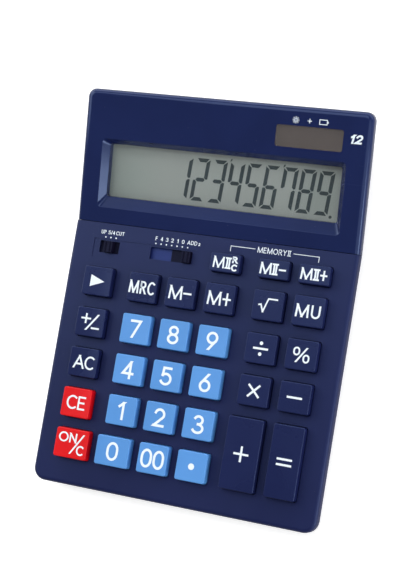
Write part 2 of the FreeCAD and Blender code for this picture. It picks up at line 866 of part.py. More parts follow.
def feet_places():
    front = FRONT_Y + S.tub_front_inset + S.foot_end_inset
    rear = -FRONT_Y - S.tub_rear_inset - S.foot_end_inset
    side = S.case_width / 2 - S.tub_side_inset - S.foot_side_inset
    return ((-side, front), (side, front), (-side, rear), (side, rear))


def make_bottom_case():
    body = new_body("bottom_case")
    tub_front = FRONT_Y + S.tub_front_inset
    tub_rear = -FRONT_Y - S.tub_rear_inset
    tub_width = S.case_width - S.tub_side_inset * 2
    tub_run = tub_rear - tub_front
    tub_middle = (tub_front + tub_rear) / 2
    reach = S.front_height * 3.5
    base = new_sketch(body, "base", z=S.floor_height)
    rounded_rectangle(base, tub_width, tub_run, S.tub_corner, y=tub_middle)
    pad(body, base, reach, draft=S.tub_draft)
    # Everything above the parting line goes.
    top = new_sketch(body, "parting", role="YZ_Plane")
    front, seam, rear = parting_points(S.skirt_height + S.fit_gap)
    beyond = S.case_width / 2
    front_far = (front[0] - beyond * cosine(S.deck_tilt), front[1] - beyond * sine(S.deck_tilt))
    rear_far = (rear[0] + beyond * cosine(HEAD_ANGLE), rear[1] + beyond * sine(HEAD_ANGLE))
    ceiling = reach * 2.5
    outline(
        top,
        (
            front_far,
            seam,
            rear_far,
            (rear_far[0], rear_far[1] + ceiling),
            (front_far[0], rear_far[1] + ceiling),
        ),
    )
    pocket(body, top, middle=True)
    # The flange that closes both shells from below.
    flange = new_sketch(body, "flange", role="YZ_Plane")
    low_front, low_seam, low_rear = parting_points(
        S.skirt_height + S.fit_gap + S.flange_thickness
    )
    inset_y = S.flange_inset * cosine(S.deck_tilt)
    inset_z = S.flange_inset * sine(S.deck_tilt)
    rear_y = S.flange_inset * cosine(HEAD_ANGLE)
    rear_z = S.flange_inset * sine(HEAD_ANGLE)
    outline(
        flange,
        (
            (front[0] + inset_y, front[1] + inset_z),
            seam,
            (rear[0] - rear_y, rear[1] - rear_z),
            (low_rear[0] - rear_y, low_rear[1] - rear_z),
            low_seam,
            (low_front[0] + inset_y, low_front[1] + inset_z),
        ),
    )
    pad(body, flange, S.case_width - S.flange_inset * 2, middle=True)
    # Inside of the tub.
    inside = new_sketch(body, "inside", z=FLOOR_TOP)
    grow = S.floor_wall * tangent(S.tub_draft)
    trim = S.side_wall * 2 - grow * 2
    rounded_rectangle(
        inside, tub_width - trim, tub_run - trim, S.tub_corner - S.side_wall, y=tub_middle
    )
    pocket(body, inside, reach, up=True, draft=S.tub_draft)
    for pair in SCREW_PAIRS:
        posts = new_sketch(body, f"{pair.name}_posts", z=S.floor_height + S.floor_wall / 2)
        for x in pair.xs:
            circle(posts, x, pair.y, S.post_radius)
        pad(body, posts, pair.seat - S.floor_height - S.floor_wall / 2)
    # The battery well stands on the floor round the battery opening.
    well = new_sketch(body, "battery_well", z=S.floor_height + S.floor_wall / 2)
    inner_width = S.bay_width + S.bay_side_room * 2
    inner_depth = S.bay_depth + S.bay_end_room * 2
    rounded_rectangle(
        well,
        inner_width + S.bay_wall * 2,
        inner_depth + S.bay_wall * 2,
        S.bay_wall,
        S.bay_x,
        S.bay_y,
    )
    well_top = FLOOR_TOP + S.bay_height + S.bay_wall
    pad(body, well, well_top - S.floor_height - S.floor_wall / 2)
    room = new_sketch(body, "battery_room", z=FLOOR_TOP)
    rounded_rectangle(room, inner_width, inner_depth, S.bay_wall / 2, S.bay_x, S.bay_y)
    pocket(body, room, S.bay_height, up=True)
    opening = new_sketch(body, "battery_opening", z=S.floor_height)
    rounded_rectangle(opening, S.bay_width, S.bay_depth, S.bay_wall / 2, S.bay_x, S.bay_y)
    pocket(body, opening, S.floor_wall * 2, up=True)
    slots = new_sketch(body, "contact_slots", z=well_top)
    for x, y, width, depth in contact_tabs(S.cover_gap):
        rectangle(slots, x - width / 2, x + width / 2, y - depth / 2, y + depth / 2)
    pocket(body, slots, S.bay_wall * 2)
    # Screw holes and counterbores.
    shafts = new_sketch(body, "screw_holes", z=S.floor_height)
    for pair in SCREW_PAIRS:
        for x in pair.xs:
            circle(shafts, x, pair.y, S.case_screw_radius + S.case_screw_clearance)
    pocket(body, shafts, reach, up=True)
    for pair in SCREW_PAIRS:
        bores = new_sketch(body, f"{pair.name}_bores", z=S.floor_height)
        for x in pair.xs:
            circle(bores, x, pair.y, S.case_screw_head_radius + S.case_screw_clearance)
        pocket(body, bores, pair.bearing - S.floor_height, up=True)
    recesses = new_sketch(body, "foot_recesses", z=S.floor_height)
    for x, y in feet_places():
        circle(recesses, x, y, S.foot_radius + S.thread_clearance)
    pocket(body, recesses, S.foot_recess, up=True)
    label = new_sketch(body, "plate_recess", z=S.floor_height)
    rounded_rectangle(label, S.label_width, S.label_depth, S.side_wall, y=tub_middle)
    pocket(body, label, S.label_recess, up=True)
    for shell_corner, end in ((S.deck_corner, FRONT_Y), (S.head_corner, -FRONT_Y)):
        radius = shell_corner - S.flange_inset
        round_edges(body, radius, lambda edge, end=end: is_flange_corner(edge, end.value))


def is_flange_corner(edge, end):
    """A short edge down the flange's side, near the case's front or rear end."""
    box = edge.BoundBox
    side = (S.case_width / 2 - S.flange_inset).value
    at_side = box.XLength < 1e-4 and abs(abs(box.XMin) - side) < 1e-3
    short = abs(edge.Length - S.flange_thickness.value) < 1e-3
    return at_side and short and abs(box.YMin - end) < S.skirt_height.value


# Battery bay.
CELL_X = S.bay_x + S.cell_x_shift
CELL_BOTTOM = S.floor_height + S.cover_thickness + S.fit_gap * 3
CELL_TOP = CELL_BOTTOM + S.cell_height
BAY_CEILING = FLOOR_TOP + S.bay_height
SIDE_CONTACT_X = CELL_X - S.cell_radius - S.fit_gap - S.contact_thickness / 2
TAB_HEIGHT = S.bay_wall + S.contact_width / 2


def contact_tabs(room):
    """Places and sizes of the two contact tabs, widened by 'room' for their slots."""
    thick = S.contact_thickness + room
    wide = S.contact_width + room
    end_y = S.bay_y + S.cell_radius + S.contact_thickness / 2
    return ((SIDE_CONTACT_X, S.bay_y, thick, wide), (CELL_X, end_y, wide, thick))


def make_battery_cover():
    body = new_body("battery_cover")
    plate = new_sketch(body, "plate", z=S.fit_gap)
    width = S.bay_width - S.cover_gap * 2
    depth = S.bay_depth - S.cover_gap * 2
    rounded_rectangle(plate, width, depth, S.bay_wall / 2, y=S.bay_depth / 2)
    pad(body, plate, S.cover_thickness)
    tongues = new_sketch(body, "tongues", role="YZ_Plane")
    low = S.cover_thickness / 2
    step = S.floor_wall + S.fit_gap * 2
    top = step + S.cover_tongue_thickness
    inner = S.cover_gap
    outline(
        tongues,
        (
            (inner, low),
            (inner + S.cover_tongue_thickness, low),
            (inner + S.cover_tongue_thickness, top),
            (inner - S.cover_tongue_reach, top),
            (inner - S.cover_tongue_reach, step),
            (inner, step),
        ),
    )
    pad(body, tongues, width / 2, middle=True)
    tab = new_sketch(body, "tab", role="YZ_Plane")
    back = S.bay_depth - S.cover_gap
    rectangle(tab, back - S.cover_tongue_thickness, back, low, step)
    pad(body, tab, S.cover_tongue_width, middle=True)
    grip = new_sketch(body, "thumb_notch", z=S.fit_gap)
    circle(grip, 0, S.bay_depth - S.cover_tongue_width * 1.2, S.cover_tongue_width / 2)
    pocket(body, grip, S.cover_thickness / 3, up=True)
    stand(body, S.bay_x, S.bay_y - S.bay_depth / 2, S.floor_height, 0)


def make_coin_cell():
    body = new_body("coin_cell")
    can = new_sketch(body, "can")
    circle(can, 0, 0, S.cell_radius)
    rim = S.cell_height / 6
    pad(body, can, S.cell_height - rim)
    cap = new_sketch(body, "cap", z=S.cell_height - rim)
    circle(cap, 0, 0, S.cell_radius - rim)
    pad(body, cap, rim)
    stand(body, CELL_X, S.bay_y, CELL_BOTTOM, 0)


def make_battery_contacts():
    """One leaf against the cell's side and one over its top, each with a solder tab."""
    body = new_body("battery_contacts")
    side, top = contact_tabs(sized(0))
    tab_top = BAY_CEILING + TAB_HEIGHT
    upright = new_sketch(body, "side_leaf", z=CELL_BOTTOM + S.contact_thickness)
    x, y, width, depth = side
    rectangle(upright, x - width / 2, x + width / 2, y - depth / 2, y + depth / 2)
    pad(body, upright, tab_top - CELL_BOTTOM - S.contact_thickness)
    leaf_z = CELL_TOP + S.fit_gap
    flat = new_sketch(body, "top_leaf", z=leaf_z)
    x, y, width, depth = top
    far = y + depth / 2
    near = S.bay_y - S.cell_radius / 2
    rectangle(flat, x - width / 2, x + width / 2, near, far)
    pad(body, flat, S.contact_thickness)
    tab = new_sketch(body, "top_tab", z=leaf_z)
    rectangle(tab, x - width / 2, x + width / 2, y - depth / 2, far)
    pad(body, tab, tab_top - leaf_z)
    stand(body, 0, 0, 0, 0)


# Keys.
def make_key(label, column, row, form):
    body = new_body(label)
    x, along, width, depth = key_place(column, row, form)
    cap = new_sketch(body, "cap", z=S.key_height)
    rounded_rectangle(cap, width, depth, S.key_corner)
    pad(body, cap, S.key_height + LIP_TOP, down=True, draft=S.key_draft)
    dish = new_sketch(body, "dish", role="XZ_Plane")
    # A little more than the width, so the dish also takes the top's two side edges.
    dish_round = width * width * 1.1 / (S.key_dish * 8)
    circle(dish, 0, S.key_height - S.key_dish + dish_round, dish_round)
    pocket(body, dish, middle=True)
    rim = (S.key_height - S.key_dish).value - 0.02
    round_edges(body, S.key_edge_round, lambda edge: edge.BoundBox.ZMin > rim)
    lip = new_sketch(body, "lip", z=-LIP_TOP)
    widening = KEY_SPREAD + LIP_TOP * tangent(S.key_draft) * 2 + S.key_lip * 2
    rounded_rectangle(lip, width + widening, depth + widening, S.key_corner + S.key_lip)
    pad(body, lip, S.key_lip_thickness, down=True)
    hollow = new_sketch(body, "hollow", z=-(LIP_TOP + S.key_lip_thickness))
    thinning = S.key_wall * 2
    rounded_rectangle(hollow, width - thinning, depth - thinning, S.key_corner / 2)
    roof = S.key_height - S.key_dish - S.key_wall
    pocket(body, hollow, LIP_TOP + S.key_lip_thickness + roof, up=True)
    plunger = new_sketch(body, "plunger", z=-(DOME_TOP - S.dome_gap))
    circle(plunger, 0, 0, S.key_plunger_radius)
    pad(body, plunger, DOME_TOP - S.dome_gap + roof + S.key_wall / 2)
    stand_on_deck(body, x, along)


# Parts under the keyboard.
def make_rubber_dome_sheet():
    body = new_body("rubber_dome_sheet")
    plan = new_sketch(body, "plan", z=-SHEET_TOP)
    half, front, back = S.board_half_width, S.board_front, S.board_back
    outline(
        plan,
        (
            (-half, front),
            (half, front),
            (half, back),
            (0, back),
            (0, S.sheet_step),
            (-half, S.sheet_step),
        ),
    )
    pad(body, plan, S.dome_sheet_thickness - S.fit_gap, down=True)
    domes = new_sketch(body, "domes", z=-SHEET_TOP)
    hollows = new_sketch(body, "hollows", z=-S.board_depth)
    inner_radius = S.dome_base_radius - S.dome_wall
    for _, column, row, form in KEYS:
        x, along, _, _ = key_place(column, row, form)
        circle(domes, x, along, S.dome_base_radius)
        circle(hollows, x, along, inner_radius)
    pad(body, domes, S.dome_height, draft=-S.dome_draft)
    pocket(
        body,
        hollows,
        S.dome_height + S.dome_sheet_thickness - S.dome_wall * 2,
        up=True,
        draft=-S.dome_draft,
    )
    holes = new_sketch(body, "post_holes", z=-SHEET_TOP)
    for x, along in BOARD_POSTS:
        circle(holes, x, along, S.board_post_radius + S.board_post_hole)
    for x in SCREW_PAIRS[1].xs:
        circle(holes, x, CASE_LANE, S.post_radius + S.board_post_hole)
    pocket(body, holes, S.board_depth)
    stand_on_deck(body)


def make_main_board():
    body = new_body("main_board")
    plan = new_sketch(body, "plan", z=-S.board_depth)
    half = S.board_half_width
    rectangle(plan, -half, half, S.board_front, S.board_back)
    pad(body, plan, S.board_thickness, down=True)
    holes = new_sketch(body, "holes", z=-S.board_depth)
    for x, along in BOARD_POSTS:
        circle(holes, x, along, S.inner_screw_radius + S.thread_clearance)
    for x in SCREW_PAIRS[1].xs:
        circle(holes, x, CASE_LANE, S.post_radius + S.board_post_hole)
    pocket(body, holes, S.board_thickness * 2)
    stand_on_deck(body)


# Slide switches.
def make_slider(kind):
    body = new_body(f"{kind}_slider")
    plate = new_sketch(body, "plate", z=-(SWITCH_FACE + S.fit_gap))
    half = S.slider_plate_length / 2
    low, high = SLIDER_LOW - S.switch_along, SLIDER_HIGH - S.switch_along
    rectangle(plate, -half, half, low, high)
    thickness = S.deck_wall - SWITCH_FACE - S.fit_gap
    pad(body, plate, thickness, down=True)
    knob = new_sketch(body, "knob", role="XZ_Plane")
    half_knob = S.knob_width / 2
    top, base = S.knob_height, -(S.deck_wall - thickness / 2)
    valley = top - S.knob_ridge
    ridge = S.knob_width / 8
    outline(
        knob,
        (
            (-half_knob, base),
            (half_knob, base),
            (half_knob, top),
            (half_knob - ridge, top),
            (half_knob - ridge * 2, valley),
            (half_knob - ridge * 3, top),
            (half_knob - ridge * 5, top),
            (half_knob - ridge * 6, valley),
            (-half_knob + ridge, top),
            (-half_knob, top),
        ),
    )
    pad(body, knob, S.switch_slot_depth - S.knob_side_gap * 2, middle=True)
    stem = new_sketch(body, "stem", z=-(SWITCH_FACE + S.fit_gap))
    half_stem, half_width = S.stem_length / 2, S.stem_width / 2
    rectangle(
        stem, -half_stem, half_stem, -S.stem_offset - half_width, -S.stem_offset + half_width
    )
    pad(body, stem, stem_reach(), down=True)
    stand_on_deck(body, SLIDERS[kind][2], S.switch_along)


def stem_reach():
    """From the plate's top to the wiper that the stem carries."""
    return S.board_depth - SWITCH_FACE - S.fit_gap * 3 - S.wiper_thickness * 4


def make_guide(kind):
    """The strip behind a switch slot that the slider runs on."""
    body = new_body(f"{kind}_guide")
    x = SLIDERS[kind][0]
    reach = slider_room(kind) + S.guide_margin
    low = SLIDER_LOW - S.slider_travel_gap - S.guide_margin - S.switch_along
    high = SLIDER_HIGH + S.slider_travel_gap + S.guide_margin - S.switch_along
    top = S.deck_wall + S.fit_gap
    plate = new_sketch(body, "plate", z=-top)
    rectangle(plate, -reach, reach, low, high)
    pad(body, plate, S.guide_thickness, down=True)
    slot = new_sketch(body, "stem_slot", z=-top)
    run = S.stem_length / 2 + S.switch_step * SLIDERS[kind][3] / 2 + S.slider_travel_gap
    side = S.stem_width / 2 + S.knob_side_gap
    rectangle(slot, -run, run, -S.stem_offset - side, -S.stem_offset + side)
    pocket(body, slot, S.guide_thickness * 2)
    stand_on_deck(body, x, S.switch_along)


def make_wiper(kind):
    """A bowed leaf under the stem that bridges the board's contacts."""
    body = new_body(f"{kind}_wiper")
    profile = new_sketch(body, "profile", role="XZ_Plane", z=S.stem_offset)
    half, flat = S.wiper_width / 2, S.stem_length / 2
    thick = S.wiper_thickness
    top = -(SWITCH_FACE + S.fit_gap * 2 + stem_reach())
    low = -(S.board_depth - S.fit_gap)
    outline(
        profile,
        (
            (-flat, top),
            (-half, low + thick),
            (-half, low),
            (-flat, top - thick),
            (flat, top - thick),
            (half, low),
            (half, low + thick),
            (flat, top),
        ),
    )
    pad(body, profile, S.stem_width, middle=True)
    stand_on_deck(body, SLIDERS[kind][2], S.switch_along)


# Display stack, in the head frame.
def make_display_window():
    body = new_body("display_window")
    plan = new_sketch(body, "plan", z=-(LIP_DEPTH + S.fit_gap))
    width = WINDOW_WIDTH + S.window_margin * 2
    depth = WINDOW_DEPTH + S.window_margin * 2
    rounded_rectangle(plan, width, depth, S.window_corner, y=WINDOW_MIDDLE)
    pad(body, plan, S.window_thickness, down=True)
    stand_on_head(body)


PANEL_FACE = LIP_DEPTH + S.window_thickness + S.fit_gap * 2
PANEL_BACK = PANEL_FACE + S.panel_thickness
PANEL_FRONT = WINDOW_FRONT - S.panel_overlap
PANEL_WIDTH = WINDOW_WIDTH + S.panel_overlap * 2
PANEL_LENGTH = WINDOW_DEPTH + S.panel_overlap * 2
HOLDER_BACK_FACE = PANEL_BACK + S.fit_gap + S.holder_wall
DISPLAY_BOARD_FACE = HOLDER_BACK_FACE + S.display_board_gap
DISPLAY_BOARD_BACK = DISPLAY_BOARD_FACE + S.display_board_thickness
CONNECTOR_ALONG = PANEL_FRONT + S.connector_width
BOARD_SCREW_PLACES = tuple(
    (x, along)
    for x in (-S.display_board_screw_x, S.display_board_screw_x)
    for along in (
        S.display_board_front + S.display_board_screw_inset,
        S.display_board_back - S.display_board_screw_inset,
    )
)


def make_display_panel():
    body = new_body("display_panel")
    plan = new_sketch(body, "plan", z=-PANEL_FACE)
    rounded_rectangle(plan, PANEL_WIDTH, PANEL_LENGTH, S.window_corner / 2, y=WINDOW_MIDDLE)
    pad(body, plan, S.panel_thickness, down=True)
    stand_on_head(body)


def make_display_holder():
    body = new_body("display_holder")
    plan = new_sketch(body, "plan", z=-S.holder_face_depth)
    half = S.holder_half_width
    rectangle(plan, -half, half, S.holder_front, S.holder_back)
    pad(body, plan, HOLDER_BACK_FACE - S.holder_face_depth, down=True)
    seat = new_sketch(body, "panel_seat", z=-S.holder_face_depth)
    room = S.cover_gap * 2
    rounded_rectangle(
        seat, PANEL_WIDTH + room, PANEL_LENGTH + room, S.window_corner / 2, y=WINDOW_MIDDLE
    )
    pocket(body, seat, PANEL_BACK + S.fit_gap - S.holder_face_depth)
    slot = new_sketch(body, "connector_slot", z=-S.holder_face_depth)
    reach = S.connector_length / 2 + S.cover_gap
    side = S.connector_width / 2 + S.cover_gap
    rectangle(slot, -reach, reach, CONNECTOR_ALONG - side, CONNECTOR_ALONG + side)
    pocket(body, slot, S.holder_face_depth * 2)
    holes = new_sketch(body, "screw_holes", z=-S.holder_face_depth)
    for x, along in HOLDER_POSTS:
        circle(holes, x, along, S.inner_screw_radius + S.thread_clearance)
    pocket(body, holes, S.holder_face_depth * 2)
    posts = new_sketch(body, "board_posts", z=-HOLDER_BACK_FACE)
    for x, along in BOARD_SCREW_PLACES:
        circle(posts, x, along, S.holder_post_radius)
    pad(body, posts, S.display_board_gap - S.fit_gap, down=True)
    pilots = new_sketch(body, "board_pilots", z=-DISPLAY_BOARD_FACE)
    for x, along in BOARD_SCREW_PLACES:
        circle(pilots, x, along, S.inner_screw_radius + S.thread_clearance)
    depth = S.inner_screw_length - S.display_board_thickness + S.fit_gap * 2
    pocket(body, pilots, depth, up=True)
    stand_on_head(body)


def make_display_connector():
    body = new_body("display_connector")
    plan = new_sketch(body, "plan", z=-(PANEL_BACK + S.fit_gap))
    half, side = S.connector_length / 2, S.connector_width / 2
    rectangle(plan, -half, half, CONNECTOR_ALONG - side, CONNECTOR_ALONG + side)
    pad(body, plan, DISPLAY_BOARD_FACE - PANEL_BACK - S.fit_gap * 2, down=True)
    stand_on_head(body)


def make_display_board():
    body = new_body("display_board")
    plan = new_sketch(body, "plan", z=-DISPLAY_BOARD_FACE)
    half = S.display_board_half_width
    rectangle(plan, -half, half, S.display_board_front, S.display_board_back)
    pad(body, plan, S.display_board_thickness, down=True)
    holes = new_sketch(body, "holes", z=-DISPLAY_BOARD_FACE)
    for x, along in BOARD_SCREW_PLACES:
        circle(holes, x, along, S.inner_screw_radius + S.thread_clearance)
    pocket(body, holes, S.display_board_thickness * 2)
    stand_on_head(body)


def make_processor_chip():
    body = new_body("processor_chip")
    blob = new_sketch(body, "blob", z=-(DISPLAY_BOARD_BACK + S.fit_gap))
    circle(blob, 0, S.chip_along, S.chip_radius)
    pad(body, blob, S.chip_height, down=True)
    low = -(DISPLAY_BOARD_BACK + S.fit_gap + S.chip_height).value
    round_edges(body, S.chip_height * 0.8, lambda edge: is_level(edge, low))
    stand_on_head(body)


def make_solar_window():
    body = new_body("solar_window")
    trim = S.solar_gap * 2
    face = new_sketch(body, "face", z=-S.solar_sink)
    rounded_rectangle(face, S.solar_width - trim, S.solar_depth - trim, S.solar_corner)
    pad(body, face, S.solar_lip, down=True)
    ledge = new_sketch(body, "ledge", z=-(S.solar_lip + S.fit_gap))
    widening = S.solar_ledge * 2 - trim
    rounded_rectangle(
        ledge, S.solar_width + widening, S.solar_depth + widening, S.solar_corner
    )
    pad(body, ledge, S.deck_wall - S.solar_lip - S.fit_gap, down=True)
    stand_on_head(body, S.solar_x, S.solar_along)


SOLAR_BACK = S.deck_wall + S.fit_gap + S.solar_cell_thickness


def make_solar_cell():
    body = new_body("solar_cell")
    widening = S.solar_ledge * 2
    plan = new_sketch(body, "plan", z=-(S.deck_wall + S.fit_gap))
    rounded_rectangle(
        plan, S.solar_width + widening, S.solar_depth + widening, S.solar_corner / 2
    )
    pad(body, plan, S.solar_cell_thickness, down=True)
    stand_on_head(body, S.solar_x, S.solar_along)


def lead(body, name, x, points):
    """A wire in a plane of constant x, through points given as y and z."""
    x = sized(x)
    points = [(sized(y), sized(z)) for y, z in points]
    route = new_sketch(body, f"{name}_route", role="YZ_Plane", z=x)
    ends = [Vector(y.value, z.value, 0) for y, z in points]
    lines = [Part.LineSegment(a, b) for a, b in zip(ends, ends[1:])]
    first = route.addGeometry(lines, False)[0]
    wanted = [across(-1, 1, first, 1, points[0][0]), upward(-1, 1, first, 1, points[0][1])]
    for i, (y, z) in enumerate(points[1:]):
        wanted.append(across(-1, 1, first + i, 2, y))
        wanted.append(upward(-1, 1, first + i, 2, z))
        if i:
            joined = Sketcher.Constraint("Coincident", first + i - 1, 2, first + i, 1)
            wanted.append((joined, None))
    constrain(route, wanted)
    # The first run is upright in every wire, so a level section stands across it.
    start_y, start_z = points[0]
    section = new_sketch(body, f"{name}_section", z=start_z)
    circle(section, x, start_y, S.lead_radius)
    pipe = body.newObject("PartDesign::AdditivePipe", f"{body.Name}_{name}_wire")
    pipe.Profile = section
    pipe.Spine = route
    pipe.Transition = "Round corner"
    route.Visibility = False
    section.Visibility = False


def make_solar_leads():
    """Two wires from the solar cell's back to the display board's underside."""
    body = new_body("solar_leads")
    start_z = -(SOLAR_BACK + S.fit_gap)
    below = -(DISPLAY_BOARD_BACK + S.lead_radius + S.fit_gap)
    turn = below - S.lead_radius * 4
    land = S.display_board_back - S.lead_radius * 6
    spacing = S.lead_radius * 8
    for name, step in (("plus", 0), ("minus", 1)):
        x = S.solar_x - S.solar_width / 2 + spacing * (step + 1)
        run = (
            (S.solar_along, start_z),
            (S.solar_along, turn),
            (S.display_board_back + S.lead_radius * 2, turn),
            (land, below),
        )
        lead(body, name, x, run)
    stand_on_head(body)


def make_battery_leads():
    """Two wires from the battery contacts' tabs to the display board's underside."""
    body = new_body("battery_leads")
    tab_top = BAY_CEILING + TAB_HEIGHT
    for name, (x, y, _, _) in zip(("plus", "minus"), contact_tabs(sized(0))):
        landing = head_point(
            S.lead_landing, -(DISPLAY_BOARD_BACK + S.lead_radius + S.fit_gap * 2)
        )
        start = (y, tab_top + S.fit_gap)
        rise = (y, tab_top + S.lead_radius * 2)
        lead(body, name, x, (start, rise, landing))
    stand(body, 0, 0, 0, 0)


def make_ribbon_cable():
    """A flat cable that hangs between the undersides of the two boards."""
    body = new_body("ribbon_cable")
    board_back = S.board_depth + S.board_thickness + S.fit_gap
    display_back = DISPLAY_BOARD_BACK + S.fit_gap
    tail = S.ribbon_thickness * 12
    a = deck_point(S.board_back - tail, -board_back)
    b = deck_point(S.board_back, -board_back)
    c = head_point(S.display_board_front, -display_back)
    d = head_point(S.display_board_front + tail, -display_back)
    middle = ((b[0] + c[0]) / 2, (b[1] + c[1]) / 2 - S.ribbon_sag)
    profile = new_sketch(body, "profile", role="YZ_Plane")
    upper = (a, b, middle, c, d)
    lower = tuple((y, z - S.ribbon_thickness) for y, z in reversed(upper))
    outline(profile, upper + lower)
    pad(body, profile, S.ribbon_width, middle=True)
    stand(body, 0, 0, 0, 0)


# Fasteners and feet.
def make_case_screws():
    body = new_body("case_screws")
    for pair in SCREW_PAIRS:
        head = new_sketch(body, f"{pair.name}_heads", z=pair.bearing - S.fit_gap)
        shank = new_sketch(body, f"{pair.name}_shanks", z=pair.bearing - S.fit_gap)
        for x in pair.xs:
            circle(head, x, pair.y, S.case_screw_head_radius)
            circle(shank, x, pair.y, S.case_screw_radius)
        pad(body, head, S.case_screw_head_height, down=True)
        pad(body, shank, S.case_screw_length)
    stand(body, 0, 0, 0, 0)


def make_board_screws():
    body = new_body("board_screws")
    face = S.board_depth + S.board_thickness + S.fit_gap
    screw_group(body, "board", BOARD_POSTS, face)
    stand_on_deck(body)


def make_display_screws():
    body = new_body("display_screws")
    screw_group(body, "holder", HOLDER_POSTS, HOLDER_BACK_FACE + S.fit_gap)
    screw_group(body, "board", BOARD_SCREW_PLACES, DISPLAY_BOARD_BACK + S.fit_gap)
    stand_on_head(body)


def screw_group(body, name, places, depth):
    """Small screws driven up from below, their heads against a face at 'depth'."""
    heads = new_sketch(body, f"{name}_heads", z=-depth)
    shanks = new_sketch(body, f"{name}_shanks", z=-depth)
    for x, along in places:
        circle(heads, x, along, S.inner_screw_head_radius)
        circle(shanks, x, along, S.inner_screw_radius)
    pad(body, heads, S.inner_screw_head_height, down=True)
    pad(body, shanks, S.inner_screw_length)


def make_rubber_feet():
    body = new_body("rubber_feet")
    plan = new_sketch(body, "plan")
    for x, y in feet_places():
        circle(plan, x, y, S.foot_radius)
    pad(body, plan, S.floor_height + S.foot_recess)
    round_edges(body, S.floor_height / 3, lambda edge: is_level(edge, 0.0))
    stand(body, 0, 0, 0, 0)


make_bottom_case()
make_keyboard_case()
make_display_cover()
make_display_window()
make_display_panel()
make_display_holder()
make_display_connector()
make_display_board()
make_processor_chip()
make_solar_window()
make_solar_cell()
make_solar_leads()
make_ribbon_cable()
make_main_board()
make_rubber_dome_sheet()
for switch in SLIDERS:
    make_slider(switch)
    make_guide(switch)
    make_wiper(switch)
make_battery_cover()
make_coin_cell()
make_battery_contacts()
make_battery_leads()
make_case_screws()
make_board_screws()
make_display_screws()
make_rubber_feet()
for key in KEYS:
    make_key(*key)
doc.recompute()

# Nothing is written unless the whole document is sound.
for item in doc.Objects:
    if "Invalid" in item.State or "Error" in item.State:
        raise RuntimeError(f"{item.Name} failed: {item.State}")
    base = getattr(item, "BaseFeature", None)
    if item.TypeId in ("PartDesign::Pocket", "PartDesign::SubtractiveLoft") and base:
        if item.Shape.Volume > base.Shape.Volume - 1e-3:
            raise RuntimeError(f"{item.Name} cuts nothing")
os.makedirs("parts", exist_ok=True)
for node in NODES:
    if node.Shape.isNull() or not node.Shape.isValid():
        raise RuntimeError(f"{node.Label} has no sound shape")
    node.Shape.exportStep(f"parts/{node.Label}.step")
print(len(NODES), "pieces written")
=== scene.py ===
import json
import math

import bpy
from mathutils import Color, Matrix, Vector

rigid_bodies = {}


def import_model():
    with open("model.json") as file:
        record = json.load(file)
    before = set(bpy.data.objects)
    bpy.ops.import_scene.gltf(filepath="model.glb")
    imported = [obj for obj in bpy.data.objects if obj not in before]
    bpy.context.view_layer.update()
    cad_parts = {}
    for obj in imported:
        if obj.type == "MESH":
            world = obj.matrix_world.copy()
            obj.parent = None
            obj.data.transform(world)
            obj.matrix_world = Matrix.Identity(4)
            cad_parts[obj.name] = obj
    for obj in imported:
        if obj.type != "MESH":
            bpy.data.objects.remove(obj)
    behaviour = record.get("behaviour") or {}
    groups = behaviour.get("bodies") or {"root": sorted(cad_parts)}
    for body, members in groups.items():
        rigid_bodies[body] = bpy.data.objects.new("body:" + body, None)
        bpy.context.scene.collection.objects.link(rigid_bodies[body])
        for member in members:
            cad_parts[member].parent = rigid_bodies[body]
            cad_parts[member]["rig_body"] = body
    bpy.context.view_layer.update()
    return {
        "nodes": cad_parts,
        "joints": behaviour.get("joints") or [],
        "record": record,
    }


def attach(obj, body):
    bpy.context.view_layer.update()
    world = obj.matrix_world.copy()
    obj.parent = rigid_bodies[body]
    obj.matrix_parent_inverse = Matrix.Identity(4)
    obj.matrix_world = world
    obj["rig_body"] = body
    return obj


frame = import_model()

bl_info = {
    "name": "Desktop Calculator",
    "version": (1, 0, 0),
    "blender": (4, 5, 0),
    "location": "View3D > Sidebar > Calculator",
    "description": "Finishes, key legends, switch scales and display figures of a desk calculator",
    "category": "Object",
}

MM = 0.001


# Planes that the printing lies on

def press_direction():
    """The way every key moves when it is pressed: straight into the deck."""
    return next(Vector(j["axis"]) for j in frame["joints"] if j["name"] == "press_zero")


def plane_frame(origin, normal):
    """A frame in millimetres with X along the object's width and Z out of the surface."""
    normal = normal.normalized()
    upslope = normal.cross(Vector((1, 0, 0)))
    turn = Matrix((Vector((1, 0, 0)), upslope, normal)).transposed().to_4x4()
    return Matrix.Translation(origin) @ turn @ Matrix.Scale(MM, 4)


def largest_face_normal(node):
    """The normal of the widest face of a sheet, on the side that looks up."""
    faces = [p for p in frame["nodes"][node].data.polygons if p.normal.z > 0.5]
    return max(faces, key=lambda face: face.area).normal.copy()


FRONT_EDGE = Vector((0.0, -0.1025685, 0.0125))
SEAM_EDGE = Vector((0.0, 0.03430, 0.018476))
DECK = plane_frame(FRONT_EDGE, -press_direction())
HEAD = plane_frame(SEAM_EDGE, largest_face_normal("display_panel"))


def cap_top(node):
    """Middle of a key's top on the deck plane, and the height of its rim, in millimetres."""
    into_deck = DECK.inverted()
    corners = [into_deck @ v.co for v in frame["nodes"][node].data.vertices]
    rim = max(c.z for c in corners)
    top = [c for c in corners if c.z > rim - 0.5]
    across = [c.x for c in top]
    upslope = [c.y for c in top]
    return (min(across) + max(across)) / 2, (min(upslope) + max(upslope)) / 2, rim


# Settings

